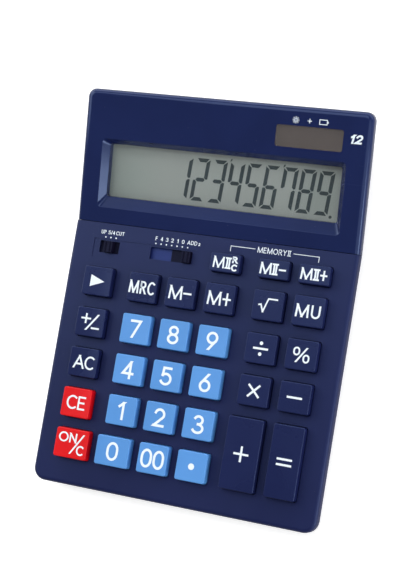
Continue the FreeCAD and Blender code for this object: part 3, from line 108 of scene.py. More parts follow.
class CalculatorColours(bpy.types.PropertyGroup):
    deck: bpy.props.FloatVectorProperty(
        name="Deck", description="Satin moulding of the keyboard shell",
        default=(0.068, 0.085, 0.262), subtype="COLOR_GAMMA", min=0, max=1)
    head: bpy.props.FloatVectorProperty(
        name="Head", description="Polished moulding of the display cover",
        default=(0.093, 0.131, 0.30), subtype="COLOR_GAMMA", min=0, max=1)
    tub: bpy.props.FloatVectorProperty(
        name="Tub", description="Fine-grained moulding of the underside",
        default=(0.10, 0.12, 0.28), subtype="COLOR_GAMMA", min=0, max=1)
    dark_key: bpy.props.FloatVectorProperty(
        name="Dark keys", description="Caps of the function keys",
        default=(0.082, 0.108, 0.275), subtype="COLOR_GAMMA", min=0, max=1)
    blue_key: bpy.props.FloatVectorProperty(
        name="Blue keys", description="Caps of the figure keys",
        default=(0.325, 0.575, 0.85), subtype="COLOR_GAMMA", min=0, max=1)
    red_key: bpy.props.FloatVectorProperty(
        name="Red keys", description="Caps of the two clearing keys",
        default=(0.86, 0.0, 0.05), subtype="COLOR_GAMMA", min=0, max=1)
    ink: bpy.props.FloatVectorProperty(
        name="Ink", description="White printing on the keys and the case",
        default=(0.93, 0.97, 1.0), subtype="COLOR_GAMMA", min=0, max=1)
    panel: bpy.props.FloatVectorProperty(
        name="Panel", description="Blank liquid-crystal panel",
        default=(0.56, 0.592, 0.574), subtype="COLOR_GAMMA", min=0, max=1)
    figure: bpy.props.FloatVectorProperty(
        name="Figures", description="Dark segments of the display figures",
        default=(0.10, 0.17, 0.20), subtype="COLOR_GAMMA", min=0, max=1)
    solar: bpy.props.FloatVectorProperty(
        name="Solar cell", description="Brown film of the solar cell",
        default=(0.12, 0.12, 0.11), subtype="COLOR_GAMMA", min=0, max=1)


class CalculatorPrinting(bpy.types.PropertyGroup):
    figure_stroke: bpy.props.FloatProperty(
        name="Figure stroke", description="Width of the strokes of the large key figures",
        default=0.00128, min=0.0005, max=0.003, unit="LENGTH", subtype="DISTANCE")
    letter_stroke: bpy.props.FloatProperty(
        name="Letter stroke", description="Width of the strokes of the letters on keys",
        default=0.00095, min=0.0004, max=0.003, unit="LENGTH", subtype="DISTANCE")
    small_stroke: bpy.props.FloatProperty(
        name="Small stroke", description="Width of the strokes printed on the case",
        default=0.00031, min=0.0002, max=0.001, unit="LENGTH", subtype="DISTANCE")
    ink_above: bpy.props.FloatProperty(
        name="Ink above", description="How far the ink stands out of its surface",
        default=0.00003, min=0.00001, max=0.0002, unit="LENGTH", subtype="DISTANCE")
    ink_below: bpy.props.FloatProperty(
        name="Ink below", description="How far the ink reaches into its surface",
        default=0.00003, min=0.00001, max=0.0002, unit="LENGTH", subtype="DISTANCE")


class CalculatorDisplay(bpy.types.PropertyGroup):
    reading: bpy.props.StringProperty(
        name="Reading", description="Figures and marks that the display shows",
        default="123'456'789.")
    right: bpy.props.FloatProperty(
        name="Right", description="Head of the last figure, from the middle of the case",
        default=0.0585, min=0.02, max=0.064, unit="LENGTH", subtype="DISTANCE")
    foot: bpy.props.FloatProperty(
        name="Foot", description="Foot of the figures, from the seam of the case",
        default=0.0163, min=0.014, max=0.02, unit="LENGTH", subtype="DISTANCE")
    pitch: bpy.props.FloatProperty(
        name="Pitch", description="Distance from one figure to the next",
        default=0.00946, min=0.004, max=0.02, unit="LENGTH", subtype="DISTANCE")
    height: bpy.props.FloatProperty(
        name="Height", description="Height of a figure",
        default=0.0220, min=0.005, max=0.025, unit="LENGTH", subtype="DISTANCE")
    width: bpy.props.FloatProperty(
        name="Width", description="Width of a figure at its foot",
        default=0.00774, min=0.002, max=0.012, unit="LENGTH", subtype="DISTANCE")
    slant: bpy.props.FloatProperty(
        name="Slant", description="Lean of the figures to the right",
        default=math.radians(5.6), min=0, max=0.5, unit="ROTATION", subtype="ANGLE")
    segment: bpy.props.FloatProperty(
        name="Segment", description="Thickness of a segment",
        default=0.00195, min=0.0003, max=0.003, unit="LENGTH", subtype="DISTANCE")
    mark: bpy.props.FloatProperty(
        name="Mark", description="Size of the decimal point and the marks between thousands",
        default=0.0016, min=0.0003, max=0.003, unit="LENGTH", subtype="DISTANCE")


class CalculatorStage(bpy.types.PropertyGroup):
    lens: bpy.props.FloatProperty(
        name="Lens", description="Focal length on a sensor whose long side is 36 mm",
        default=83.83, min=20, max=200, unit="CAMERA", subtype="DISTANCE_CAMERA")
    key_power: bpy.props.FloatProperty(
        name="Main box", description="Power of the large soft box at the front right",
        default=5.6, min=0, max=100, unit="POWER")
    side_power: bpy.props.FloatProperty(
        name="Low box", description="Power of the low soft box on the right",
        default=4.8, min=0, max=100, unit="POWER")
    top_power: bpy.props.FloatProperty(
        name="Back box", description="Power of the soft box above the far end",
        default=6.4, min=0, max=100, unit="POWER")
    left_power: bpy.props.FloatProperty(
        name="Left box", description="Power of the soft box on the left",
        default=5.4, min=0, max=100, unit="POWER")
    lift: bpy.props.FloatProperty(
        name="Lift", description="Light added to the floor where the camera sees it",
        default=0.6, min=0, max=2)
    floor: bpy.props.FloatVectorProperty(
        name="Floor", description="Pale floor",
        default=(0.89, 0.89, 0.89), subtype="COLOR_GAMMA", min=0, max=1)


SETTINGS = {
    "calculator_colours": CalculatorColours,
    "calculator_printing": CalculatorPrinting,
    "calculator_display": CalculatorDisplay,
    "calculator_stage": CalculatorStage,
}


# Nodes

class Wiring:
    """Adds and joins the nodes of one material or node group."""

    def __init__(self, tree):
        self.tree = tree

    def put(self, socket, value):
        if isinstance(value, bpy.types.NodeSocket):
            self.tree.links.new(value, socket)
        else:
            socket.default_value = value

    def add(self, kind, inputs=None, **settings):
        node = self.tree.nodes.new(kind)
        for name, value in settings.items():
            setattr(node, name, value)
        for name, value in (inputs or {}).items():
            self.put(node.inputs[name], value)
        return node

    def math(self, operation, *values):
        node = self.add("ShaderNodeMath", operation=operation)
        for place, value in enumerate(values):
            self.put(node.inputs[place], value)
        return node.outputs[0]

    def remap(self, value, low, high, new_low=0.0, new_high=1.0):
        node = self.add("ShaderNodeMapRange", {
            "Value": value, "From Min": low, "From Max": high,
            "To Min": new_low, "To Max": new_high}, interpolation_type="SMOOTHSTEP")
        return node.outputs[0]

    def blend(self, factor, first, second):
        node = self.add("ShaderNodeMix", data_type="RGBA")
        self.put(node.inputs[0], factor)
        self.put(node.inputs[6], first)
        self.put(node.inputs[7], second)
        return node.outputs[2]

    def place(self, scale=(1, 1, 1), turn=(0, 0, 0)):
        """Object coordinates, stretched and turned."""
        coordinates = self.add("ShaderNodeTexCoord").outputs["Object"]
        return self.add("ShaderNodeMapping", {
            "Vector": coordinates, "Scale": scale, "Rotation": turn}).outputs[0]

    def noise(self, vector, scale, detail=2.0):
        return self.add("ShaderNodeTexNoise", {
            "Vector": vector, "Scale": scale, "Detail": detail}).outputs["Fac"]

    def relief(self, shader, height, distance):
        """Bumps a shader by a height that changes over the surface, in metres."""
        bump = self.add("ShaderNodeBump", {
            "Height": height, "Strength": 1.0, "Distance": distance})
        self.put(shader["Normal"], bump.outputs[0])


def linear(colour, factor=1.0):
    """A colour as it is seen, made a shader's colour."""
    made = Color(colour).from_srgb_to_scene_linear()
    return (made.r * factor, made.g * factor, made.b * factor, 1.0)


def new_group(name, inputs, outputs):
    """An empty node group with number inputs and outputs, and a Vector to place it."""
    group = bpy.data.node_groups.new(name, "ShaderNodeTree")
    group.interface.new_socket("Vector", in_out="INPUT", socket_type="NodeSocketVector")
    for label, value in inputs.items():
        socket = group.interface.new_socket(label, in_out="INPUT", socket_type="NodeSocketFloat")
        socket.default_value = value
    for label in outputs:
        group.interface.new_socket(label, in_out="OUTPUT", socket_type="NodeSocketFloat")
    wiring = Wiring(group)
    start = wiring.add("NodeGroupInput").outputs
    end = wiring.add("NodeGroupOutput").inputs
    return group, wiring, start, end


def make_moulded_grain():
    """Fine spark-eroded grain, and slow patches from the flow of the plastic."""
    group, wiring, start, end = new_group(
        "Moulded grain", {"Grain Size": 0.0003, "Patch Size": 0.03}, ("Height", "Patches"))
    fineness = wiring.math("DIVIDE", 1.0, start["Grain Size"])
    slowness = wiring.math("DIVIDE", 1.0, start["Patch Size"])
    wiring.put(end["Height"], wiring.noise(start["Vector"], fineness, 3.0))
    patches = wiring.noise(start["Vector"], slowness, 2.0)
    wiring.put(end["Patches"], wiring.remap(patches, 0.3, 0.7))
    return group


def make_handling():
    """Finger smudges, hair scratches and specks of dust."""
    group, wiring, start, end = new_group("Handling", {}, ("Smudges", "Scratches", "Dust"))
    smudges = wiring.noise(start["Vector"], 55.0, 4.0)
    wiring.put(end["Smudges"], wiring.remap(smudges, 0.48, 0.72))
    marks = []
    for turn in (0.5, -0.9, 2.1):
        across = wiring.add("ShaderNodeMapping", {
            "Vector": start["Vector"], "Scale": (9.0, 900.0, 60.0), "Rotation": (0, 0, turn)})
        lines = wiring.noise(across.outputs[0], 1.0, 1.0)
        nearness = wiring.math("ABSOLUTE", wiring.math("SUBTRACT", lines, 0.5))
        thin = wiring.remap(nearness, 0.0, 0.012, 1.0, 0.0)
        here = wiring.remap(wiring.noise(start["Vector"], 40.0 + 9.0 * turn, 1.0), 0.58, 0.66)
        marks.append(wiring.math("MULTIPLY", thin, here))
    both = wiring.math("MAXIMUM", marks[0], marks[1])
    wiring.put(end["Scratches"], wiring.math("MAXIMUM", both, marks[2]))
    cells = wiring.add("ShaderNodeTexVoronoi", {"Vector": start["Vector"], "Scale": 380.0})
    near = wiring.remap(cells.outputs["Distance"], 0.03, 0.07, 1.0, 0.0)
    draw = wiring.add("ShaderNodeSeparateColor", {"Color": cells.outputs["Color"]})
    chosen = wiring.math("GREATER_THAN", draw.outputs[0], 0.86)
    wiring.put(end["Dust"], wiring.math("MULTIPLY", near, chosen))
    return group


def make_brushed():
    """Fine parallel drawing lines of rolled or brushed metal."""
    group, wiring, start, end = new_group("Brushed metal", {}, ("Lines", "Stains"))
    across = wiring.add("ShaderNodeMapping", {
        "Vector": start["Vector"], "Scale": (120.0, 9000.0, 900.0)})
    wiring.put(end["Lines"], wiring.noise(across.outputs[0], 1.0, 3.0))
    wiring.put(end["Stains"], wiring.remap(wiring.noise(start["Vector"], 260.0, 3.0), 0.4, 0.7))
    return group


GROUP_MAKERS = {
    "Moulded grain": make_moulded_grain,
    "Handling": make_handling,
    "Brushed metal": make_brushed,
}


def shared(name):
    return bpy.data.node_groups.get(name) or GROUP_MAKERS[name]()


def use_group(wiring, name, inputs):
    return wiring.add("ShaderNodeGroup", inputs, node_tree=shared(name)).outputs


def new_material(name):
    """A material with one Principled shader, its wiring and the shader's inputs."""
    material = bpy.data.materials.new(name)
    material.use_nodes = True
    material.node_tree.nodes.clear()
    wiring = Wiring(material.node_tree)
    shader = wiring.add("ShaderNodeBsdfPrincipled")
    output = wiring.add("ShaderNodeOutputMaterial")
    wiring.put(output.inputs["Surface"], shader.outputs[0])
    return material, wiring, shader.inputs, output.inputs["Surface"]


def moulding(name, colour, roughness, grain=0.0003, relief=0.000004, spread=0.06,
             shine=0.5, marks=0.0, dust=0.0, tint=(1.0, 1.0, 1.0)):
    """A moulded plastic: grain in relief, slow colour patches, marks of handling."""
    material, wiring, shader, _ = new_material(name)
    vector = wiring.place()
    surface = use_group(wiring, "Moulded grain", {"Vector": vector, "Grain Size": grain})
    handling = use_group(wiring, "Handling", {"Vector": vector})
    base = wiring.blend(surface["Patches"], linear(colour, 1 - spread), linear(colour, 1 + spread))
    pale = linear((0.55, 0.56, 0.6))
    shader_colour = wiring.blend(wiring.math("MULTIPLY", handling["Dust"], dust), base, pale)
    wiring.put(shader["Base Color"], shader_colour)
    rough = wiring.remap(surface["Patches"], 0.0, 1.0, roughness * 0.93, roughness * 1.07)
    rough = wiring.math("MULTIPLY_ADD", handling["Smudges"], marks, rough)
    rough = wiring.math("MULTIPLY_ADD", handling["Scratches"], marks * 2, rough)
    wiring.put(shader["Roughness"], rough)
    shader["Specular IOR Level"].default_value = shine
    shader["Specular Tint"].default_value = (*tint, 1.0)
    wiring.relief(shader, surface["Height"], relief)
    return material


def metal(name, colour, roughness):
    """Bright metal with drawing lines and faint stains."""
    material, wiring, shader, _ = new_material(name)
    brushed = use_group(wiring, "Brushed metal", {"Vector": wiring.place()})
    stained = wiring.blend(brushed["Stains"], linear(colour), linear(colour, 0.82))
    wiring.put(shader["Base Color"], stained)
    shader["Metallic"].default_value = 1.0
    wiring.put(shader["Roughness"], wiring.remap(
        brushed["Lines"], 0.3, 0.7, roughness * 0.75, roughness * 1.35))
    wiring.relief(shader, brushed["Lines"], 0.000004)
    return material


def clear_sheet(name, colour, roughness, solidity):
    """Clear plastic that lets the lamps through to what lies behind it."""
    material, wiring, shader, surface = new_material(name)
    handling = use_group(wiring, "Handling", {"Vector": wiring.place()})
    shader["Base Color"].default_value = linear(colour)
    shader["Transmission Weight"].default_value = 1.0 - solidity
    shader["IOR"].default_value = 1.49
    rough = wiring.math("MULTIPLY_ADD", handling["Smudges"], 0.03, roughness)
    wiring.put(shader["Roughness"], wiring.math(
        "MULTIPLY_ADD", handling["Scratches"], 0.06, rough))
    through = wiring.add("ShaderNodeBsdfTransparent", {"Color": linear(colour)})
    path = wiring.add("ShaderNodeLightPath")
    glass = shader["Base Color"].node
    mixed = wiring.add("ShaderNodeMixShader", {0: path.outputs["Is Shadow Ray"]})
    wiring.put(mixed.inputs[1], glass.outputs[0])
    wiring.put(mixed.inputs[2], through.outputs[0])
    wiring.put(surface, mixed.outputs[0])
    return material


def circuit_board(name):
    """Tan phenolic board with tracks under green lacquer and rows of soldered pads."""
    material, wiring, shader, _ = new_material(name)
    vector = wiring.place()
    tracks = wiring.add("ShaderNodeTexBrick", {
        "Vector": vector, "Scale": 1.0, "Mortar Size": 0.00035, "Mortar Smooth": 0.1,
        "Brick Width": 0.0085, "Row Height": 0.0021,
        "Color1": (0, 0, 0, 1), "Color2": (0, 0, 0, 1), "Mortar": (1, 1, 1, 1)},
        offset=0.37, squash=1.6, squash_frequency=3)
    pads = wiring.add("ShaderNodeTexVoronoi", {"Vector": vector, "Scale": 260.0})
    solder = wiring.remap(pads.outputs["Distance"], 0.12, 0.17, 1.0, 0.0)
    lacquer = wiring.blend(wiring.noise(vector, 90.0), linear((0.14, 0.30, 0.16)),
                           linear((0.18, 0.36, 0.19)))
    copper = wiring.blend(tracks.outputs["Fac"], lacquer, linear((0.30, 0.45, 0.22)))
    wiring.put(shader["Base Color"], wiring.blend(solder, copper, linear((0.74, 0.74, 0.72))))
    wiring.put(shader["Metallic"], wiring.math("MULTIPLY", solder, 0.9))
    wiring.put(shader["Roughness"], wiring.remap(solder, 0.0, 1.0, 0.42, 0.28))
    raised = wiring.math("MAXIMUM", tracks.outputs["Fac"], solder)
    wiring.relief(shader, raised, 0.00004)
    return material


def silicone(name, colour, roughness):
    """Soft rubber with a dry, slightly sticky surface."""
    material, wiring, shader, _ = new_material(name)
    vector = wiring.place()
    surface = use_group(wiring, "Moulded grain", {
        "Vector": vector, "Grain Size": 0.0005, "Patch Size": 0.008})
    handling = use_group(wiring, "Handling", {"Vector": vector})
    base = wiring.blend(surface["Patches"], linear(colour, 0.9), linear(colour, 1.1))
    wiring.put(shader["Base Color"], wiring.blend(
        wiring.math("MULTIPLY", handling["Dust"], 0.5), base, linear((0.6, 0.58, 0.55))))
    wiring.put(shader["Roughness"], wiring.remap(
        handling["Smudges"], 0.0, 1.0, roughness, roughness * 0.85))
    shader["Specular IOR Level"].default_value = 0.35
    wiring.relief(shader, surface["Height"], 0.00001)
    return material


def insulated_wires(name, colour):
    """Coloured insulation, slightly uneven along the wire."""
    material, wiring, shader, _ = new_material(name)
    vector = wiring.place((1.0, 4.0, 1.0))
    shade = wiring.noise(vector, 700.0)
    wiring.put(shader["Base Color"], wiring.blend(shade, linear(colour, 0.8), linear(colour, 1.1)))
    wiring.put(shader["Roughness"], wiring.remap(shade, 0.2, 0.8, 0.38, 0.52))
    return material


def flat_ribbon(name):
    """Pale flat cable: parallel conductors show as ridges under the film."""
    material, wiring, shader, _ = new_material(name)
    ridges = wiring.add("ShaderNodeTexWave", {
        "Vector": wiring.place(), "Scale": 160.0, "Distortion": 0.0}, bands_direction="X")
    wiring.put(shader["Base Color"], wiring.blend(
        ridges.outputs["Fac"], linear((0.62, 0.62, 0.60)), linear((0.86, 0.85, 0.80))))
    wiring.put(shader["Roughness"], wiring.remap(ridges.outputs["Fac"], 0, 1, 0.5, 0.35))
    wiring.relief(shader, ridges.outputs["Fac"], 0.0001)
    return material


def liquid_crystal(name, colour):
    """The blank panel: a matt polariser over a reflector with a fine fibre."""
    material, wiring, shader, _ = new_material(name)
    fibre = wiring.noise(wiring.place((900.0, 5200.0, 900.0)), 1.0, 2.0)
    cloud = wiring.noise(wiring.place(), 18.0, 1.0)
    fine = wiring.blend(fibre, linear(colour, 0.97), linear(colour, 1.03))
    pale = (colour[0] * 1.05, colour[1] * 1.02, colour[2] * 1.03)
    warm = wiring.blend(fibre, linear(pale, 0.97), linear(pale, 1.03))
    wiring.put(shader["Base Color"], wiring.blend(wiring.remap(cloud, 0.4, 0.62), fine, warm))
    wiring.put(shader["Roughness"], wiring.remap(fibre, 0.3, 0.7, 0.34, 0.42))
    wiring.relief(shader, fibre, 0.000001)
    return material


def solar_film(name, colour):
    """Brown amorphous film on glass, a little purple where it is thicker."""
    material, wiring, shader, _ = new_material(name)
    cloud = wiring.remap(wiring.noise(wiring.place(), 120.0, 2.0), 0.35, 0.65)
    purple = (colour[0] * 0.92, colour[1] * 0.88, colour[2] * 1.05)
    wiring.put(shader["Base Color"], wiring.blend(cloud, linear(colour), linear(purple)))
    wiring.put(shader["Roughness"], wiring.remap(cloud, 0, 1, 0.30, 0.38))
    shader["Coat Weight"].default_value = 0.4
    shader["Coat Roughness"].default_value = 0.1
    return material


def print_ink(name, colour):
    """Screen-printed ink: slightly uneven and less shiny than what it is printed on."""
    material, wiring, shader, _ = new_material(name)
    vector = wiring.place()
    surface = use_group(wiring, "Moulded grain", {
        "Vector": vector, "Grain Size": 0.00025, "Patch Size": 0.004})
    wiring.put(shader["Base Color"], wiring.blend(
        surface["Patches"], linear(colour, 0.96), linear(colour, 1.0)))
    wiring.put(shader["Roughness"], wiring.remap(surface["Patches"], 0, 1, 0.42, 0.52))
    shader["Specular IOR Level"].default_value = 0.35
    wiring.relief(shader, surface["Height"], 0.000004)
    return material


# The glint of the navy mouldings is bluish, as their pigment shows in it
NAVY_GLINT = (0.46, 0.62, 1.0)


def finish_makers(colours):
    """For each material slot of the record, the call that makes its finish."""
    return {
        "case_satin": lambda n: moulding(
            n, colours.deck, 0.44, grain=0.00035, relief=0.000006, marks=0.05, dust=0.2,
            tint=NAVY_GLINT),
        "case_gloss": lambda n: moulding(
            n, colours.head, 0.10, grain=0.004, relief=0.000002, marks=0.07, dust=0.3,
            tint=NAVY_GLINT),
        "case_lower": lambda n: moulding(
            n, colours.tub, 0.52, grain=0.0006, relief=0.00002, marks=0.05, dust=0.3,
            tint=NAVY_GLINT),
        "key_dark": lambda n: moulding(
            n, colours.dark_key, 0.27, relief=0.000005, marks=0.06, dust=0.2,
            tint=NAVY_GLINT),
        "key_blue": lambda n: moulding(
            n, colours.blue_key, 0.38, relief=0.000005, spread=0.04, marks=0.08),
        "key_red": lambda n: moulding(
            n, colours.red_key, 0.36, relief=0.000005, spread=0.04, marks=0.08,
            shine=0.35),
        "window": lambda n: clear_sheet(n, (0.97, 0.98, 0.98), 0.03, 0.0),
        "display_glass": lambda n: liquid_crystal(n, colours.panel),
        "inner_moulding": lambda n: moulding(n, (0.62, 0.62, 0.62), 0.45, relief=0.00001),
        "elastomer": lambda n: silicone(n, (0.5, 0.5, 0.52), 0.6),
        "circuit_board": circuit_board,
        "resin": lambda n: moulding(n, (0.05, 0.05, 0.05), 0.2, grain=0.002, relief=0.00006),
        "solar_cover": lambda n: clear_sheet(n, (0.90, 0.87, 0.86), 0.06, 0.05),
        "solar_glass": lambda n: solar_film(n, colours.solar),
        "wire": lambda n: insulated_wires(n, (0.62, 0.06, 0.06)),
        "ribbon": flat_ribbon,
        "dome_rubber": lambda n: silicone(n, (0.72, 0.72, 0.74), 0.5),
        "switch_knob": lambda n: moulding(
            n, (0.06, 0.045, 0.13), 0.5, relief=0.000006, shine=0.2, marks=0.06,
            dust=0.2, tint=NAVY_GLINT),
        "switch_guide": lambda n: moulding(
            n, (0.13, 0.18, 0.44), 0.42, relief=0.000006, tint=NAVY_GLINT),
        "contact_metal": lambda n: metal(n, (0.86, 0.74, 0.46), 0.28),
        "cell_steel": lambda n: metal(n, (0.80, 0.80, 0.79), 0.26),
        "screw_steel": lambda n: metal(n, (0.72, 0.72, 0.72), 0.32),
        "foot_rubber": lambda n: silicone(n, (0.13, 0.13, 0.14), 0.62),
    }


# Shapes of figures and letters

def arc(x, y, across, up, start, end):
    """Points along part of an ellipse, from one angle to another, in degrees."""
    steps = max(2, math.ceil(abs(end - start) / 12))
    angles = [math.radians(start + (end - start) * i / steps) for i in range(steps + 1)]
    return [(x + across * math.cos(a), y + up * math.sin(a)) for a in angles]


def ring(x, y, across, up):
    return arc(x, y, across, up, 0, 360)[:-1]


OVAL = arc(0.5, 0.6, 0.5, 0.4, 0, 180) + arc(0.5, 0.4, 0.5, 0.4, 180, 360)
SIX_STEM = [(0.74, 1.0), (0.10, 0.476)]

# Each sign fills a square one wide and one high. A stroke is a list of points along its
# middle, and a closed stroke is a tuple of them.
SIGNS = {
    "0": [tuple(OVAL)],
    "1": [[(0.0, 0.77), (1.0, 1.0)], [(1.0, 1.0), (1.0, 0.0)]],
    "2": [arc(0.5, 0.7, 0.48, 0.3, 162, -32) + [(0.02, 0.0)], [(0.0, 0.0), (1.0, 0.0)]],
    "3": [arc(0.46, 0.76, 0.43, 0.24, 152, -90), arc(0.46, 0.26, 0.54, 0.26, 90, -152)],
    "4": [[(0.72, 0.0), (0.72, 1.0)], [(0.72, 1.0), (0.04, 0.27), (1.0, 0.27)]],
    "5": [[(0.92, 1.0), (0.16, 1.0), (0.10, 0.55)], arc(0.46, 0.32, 0.54, 0.32, 132, -150)],
    "6": [tuple(ring(0.5, 0.31, 0.5, 0.31)), SIX_STEM],
    "7": [[(0.0, 1.0), (1.0, 1.0), (0.26, 0.0)]],
    "8": [tuple(ring(0.5, 0.76, 0.42, 0.24)), tuple(ring(0.5, 0.26, 0.5, 0.26))],
    "9": [tuple(ring(0.5, 0.69, 0.5, 0.31)), [(1 - x, 1 - y) for x, y in SIX_STEM]],
    "A": [[(0.0, 0.0), (0.5, 1.0)], [(1.0, 0.0), (0.5, 1.0)], [(0.26, 0.32), (0.74, 0.32)]],
    "C": [arc(0.60, 0.5, 0.60, 0.5, 52, 308)],
    "D": [tuple([(0.0, 0.0), (0.0, 1.0)] + arc(0.4, 0.5, 0.6, 0.5, 90, -90))],
    "E": [[(1.0, 1.0), (0.0, 1.0), (0.0, 0.0), (1.0, 0.0)], [(0.1, 0.52), (0.86, 0.52)]],
    "F": [[(1.0, 1.0), (0.0, 1.0), (0.0, 0.0)], [(0.1, 0.52), (0.82, 0.52)]],
    "M": [[(0.0, 0.0), (0.05, 1.0)], [(0.05, 1.0), (0.5, 0.0)],
          [(0.95, 1.0), (0.5, 0.0)], [(1.0, 0.0), (0.95, 1.0)]],
    "N": [[(0.0, 0.0), (0.0, 1.0)], [(0.0, 1.0), (1.0, 0.0)], [(1.0, 0.0), (1.0, 1.0)]],
    "O": [tuple(ring(0.5, 0.5, 0.5, 0.5))],
    "P": [[(0.0, 0.0), (0.0, 0.9)], [(0.0, 0.48), (0.0, 1.0)]
          + arc(0.5, 0.74, 0.5, 0.26, 90, -90) + [(0.1, 0.48)]],
    "R": [[(0.0, 0.0), (0.0, 0.9)], [(0.0, 0.5), (0.0, 1.0)]
          + arc(0.45, 0.75, 0.45, 0.25, 90, -90) + [(0.1, 0.5)], [(0.42, 0.5), (1.0, 0.0)]],
    "T": [[(0.0, 1.0), (1.0, 1.0)], [(0.5, 0.9), (0.5, 0.0)]],
    "U": [[(0.0, 1.0)] + arc(0.5, 0.36, 0.5, 0.36, 180, 360) + [(1.0, 1.0)]],
    "Y": [[(0.0, 1.0), (0.5, 0.46)], [(1.0, 1.0), (0.5, 0.46)], [(0.5, 0.5), (0.5, 0.0)]],
    "second": [[(0.0, 1.0), (1.0, 1.0)], [(0.0, 0.0), (1.0, 0.0)],
               [(0.25, 0.05), (0.25, 0.95)], [(0.75, 0.05), (0.75, 0.95)]],
    "/": [[(0.0, 0.0), (1.0, 1.0)]],
    "+": [[(0.0, 0.5), (1.0, 0.5)], [(0.5, 0.0), (0.5, 1.0)]],
    "-": [[(0.0, 0.5), (1.0, 0.5)]],
    "=": [[(0.0, 0.0), (1.0, 0.0)], [(0.0, 1.0), (1.0, 1.0)]],
    "x": [[(0.05, 0.05), (0.95, 0.95)], [(0.05, 0.95), (0.95, 0.05)]],
    "root": [[(0.0, 0.5), (0.11, 0.54), (0.26, 0.0)], [(0.26, 0.0), (0.50, 1.0), (1.0, 1.0)]],
    "cell": [tuple([(0.0, 0.0), (0.0, 1.0), (0.86, 1.0), (0.86, 0.0)]),
             [(0.97, 0.35), (0.97, 0.65)]],
    "sun": [tuple(ring(0.5, 0.5, 0.22, 0.22))] + [
        [(0.5 + r * math.cos(a), 0.5 + r * math.sin(a)) for r in (0.38, 0.5)]
        for a in (math.radians(45 * step) for step in range(8))],
    "corner": [[(0.0, 0.0), (0.0, 1.0), (1.0, 1.0)]],
}
# Signs that are filled outlines, in the same square
FILLED = {
    "dot": ring(0.5, 0.5, 0.5, 0.5),
    "arrow": [(0.0, 0.0), (1.0, 0.5), (0.0, 1.0)],
}
STEEP = 0.55


def side_line(points, distance, closed):
    """The points moved sideways by a distance, mitred at the corners."""
    count = len(points)
    moved = []
    for i, point in enumerate(points):
        before = points[i - 1] if closed or i else None
        after = points[(i + 1) % count] if closed or i < count - 1 else None
        ways = [w.normalized() for w in (
            point - before if before is not None else None,
            after - point if after is not None else None) if w is not None]
        sides = [Vector((-w.y, w.x)) for w in ways]
        both = sum(sides, Vector((0.0, 0.0)))
        share = 1.0 if len(sides) == 1 else 1.0 + sides[0].dot(sides[1])
        moved.append(point + both * (distance / share))
    return moved


def trimmed_end(corner, outward, middle, stroke, low, high):
    """A stroke's end corner: level at the foot or head of a steep stroke, else square."""
    limit = low if abs(middle.y - low) < stroke * 0.51 else high
    at_limit = abs(abs(middle.y - limit) - stroke / 2) < 1e-6
    if at_limit and abs(outward.y) > STEEP:
        return corner + outward * ((limit - corner.y) / outward.y)
    return corner + outward * stroke / 2


def stroke_outlines(points, closed, stroke, low, high):
    """The closed outlines of a stroke: two for a closed stroke, one for an open one."""
    left = side_line(points, stroke / 2, closed)
    right = side_line(points, -stroke / 2, closed)
    if closed:
        return [left, right]
    for end, inner in ((0, 1), (-1, -2)):
        outward = (points[end] - points[inner]).normalized()
        for side in (left, right):
            side[end] = trimmed_end(side[end], outward, points[end], stroke, low, high)
    return [left + right[::-1]]


def sign_outlines(sign, x, y, width, height, stroke):
    """Outlines of each stroke of a sign whose middle is at x, y, in millimetres."""
    low, high = y - height / 2, y + height / 2
    if sign in FILLED:
        return [[[Vector((x + (u - 0.5) * width, low + v * height)) for u, v in FILLED[sign]]]]
    across, up = width - stroke, max(height - stroke, 0.0)
    shapes = []
    for line in SIGNS[sign]:
        points = [Vector((x + (u - 0.5) * across, y + (v - 0.5) * up)) for u, v in line]
        shapes.append(stroke_outlines(points, isinstance(line, tuple), stroke, low, high))
    return shapes


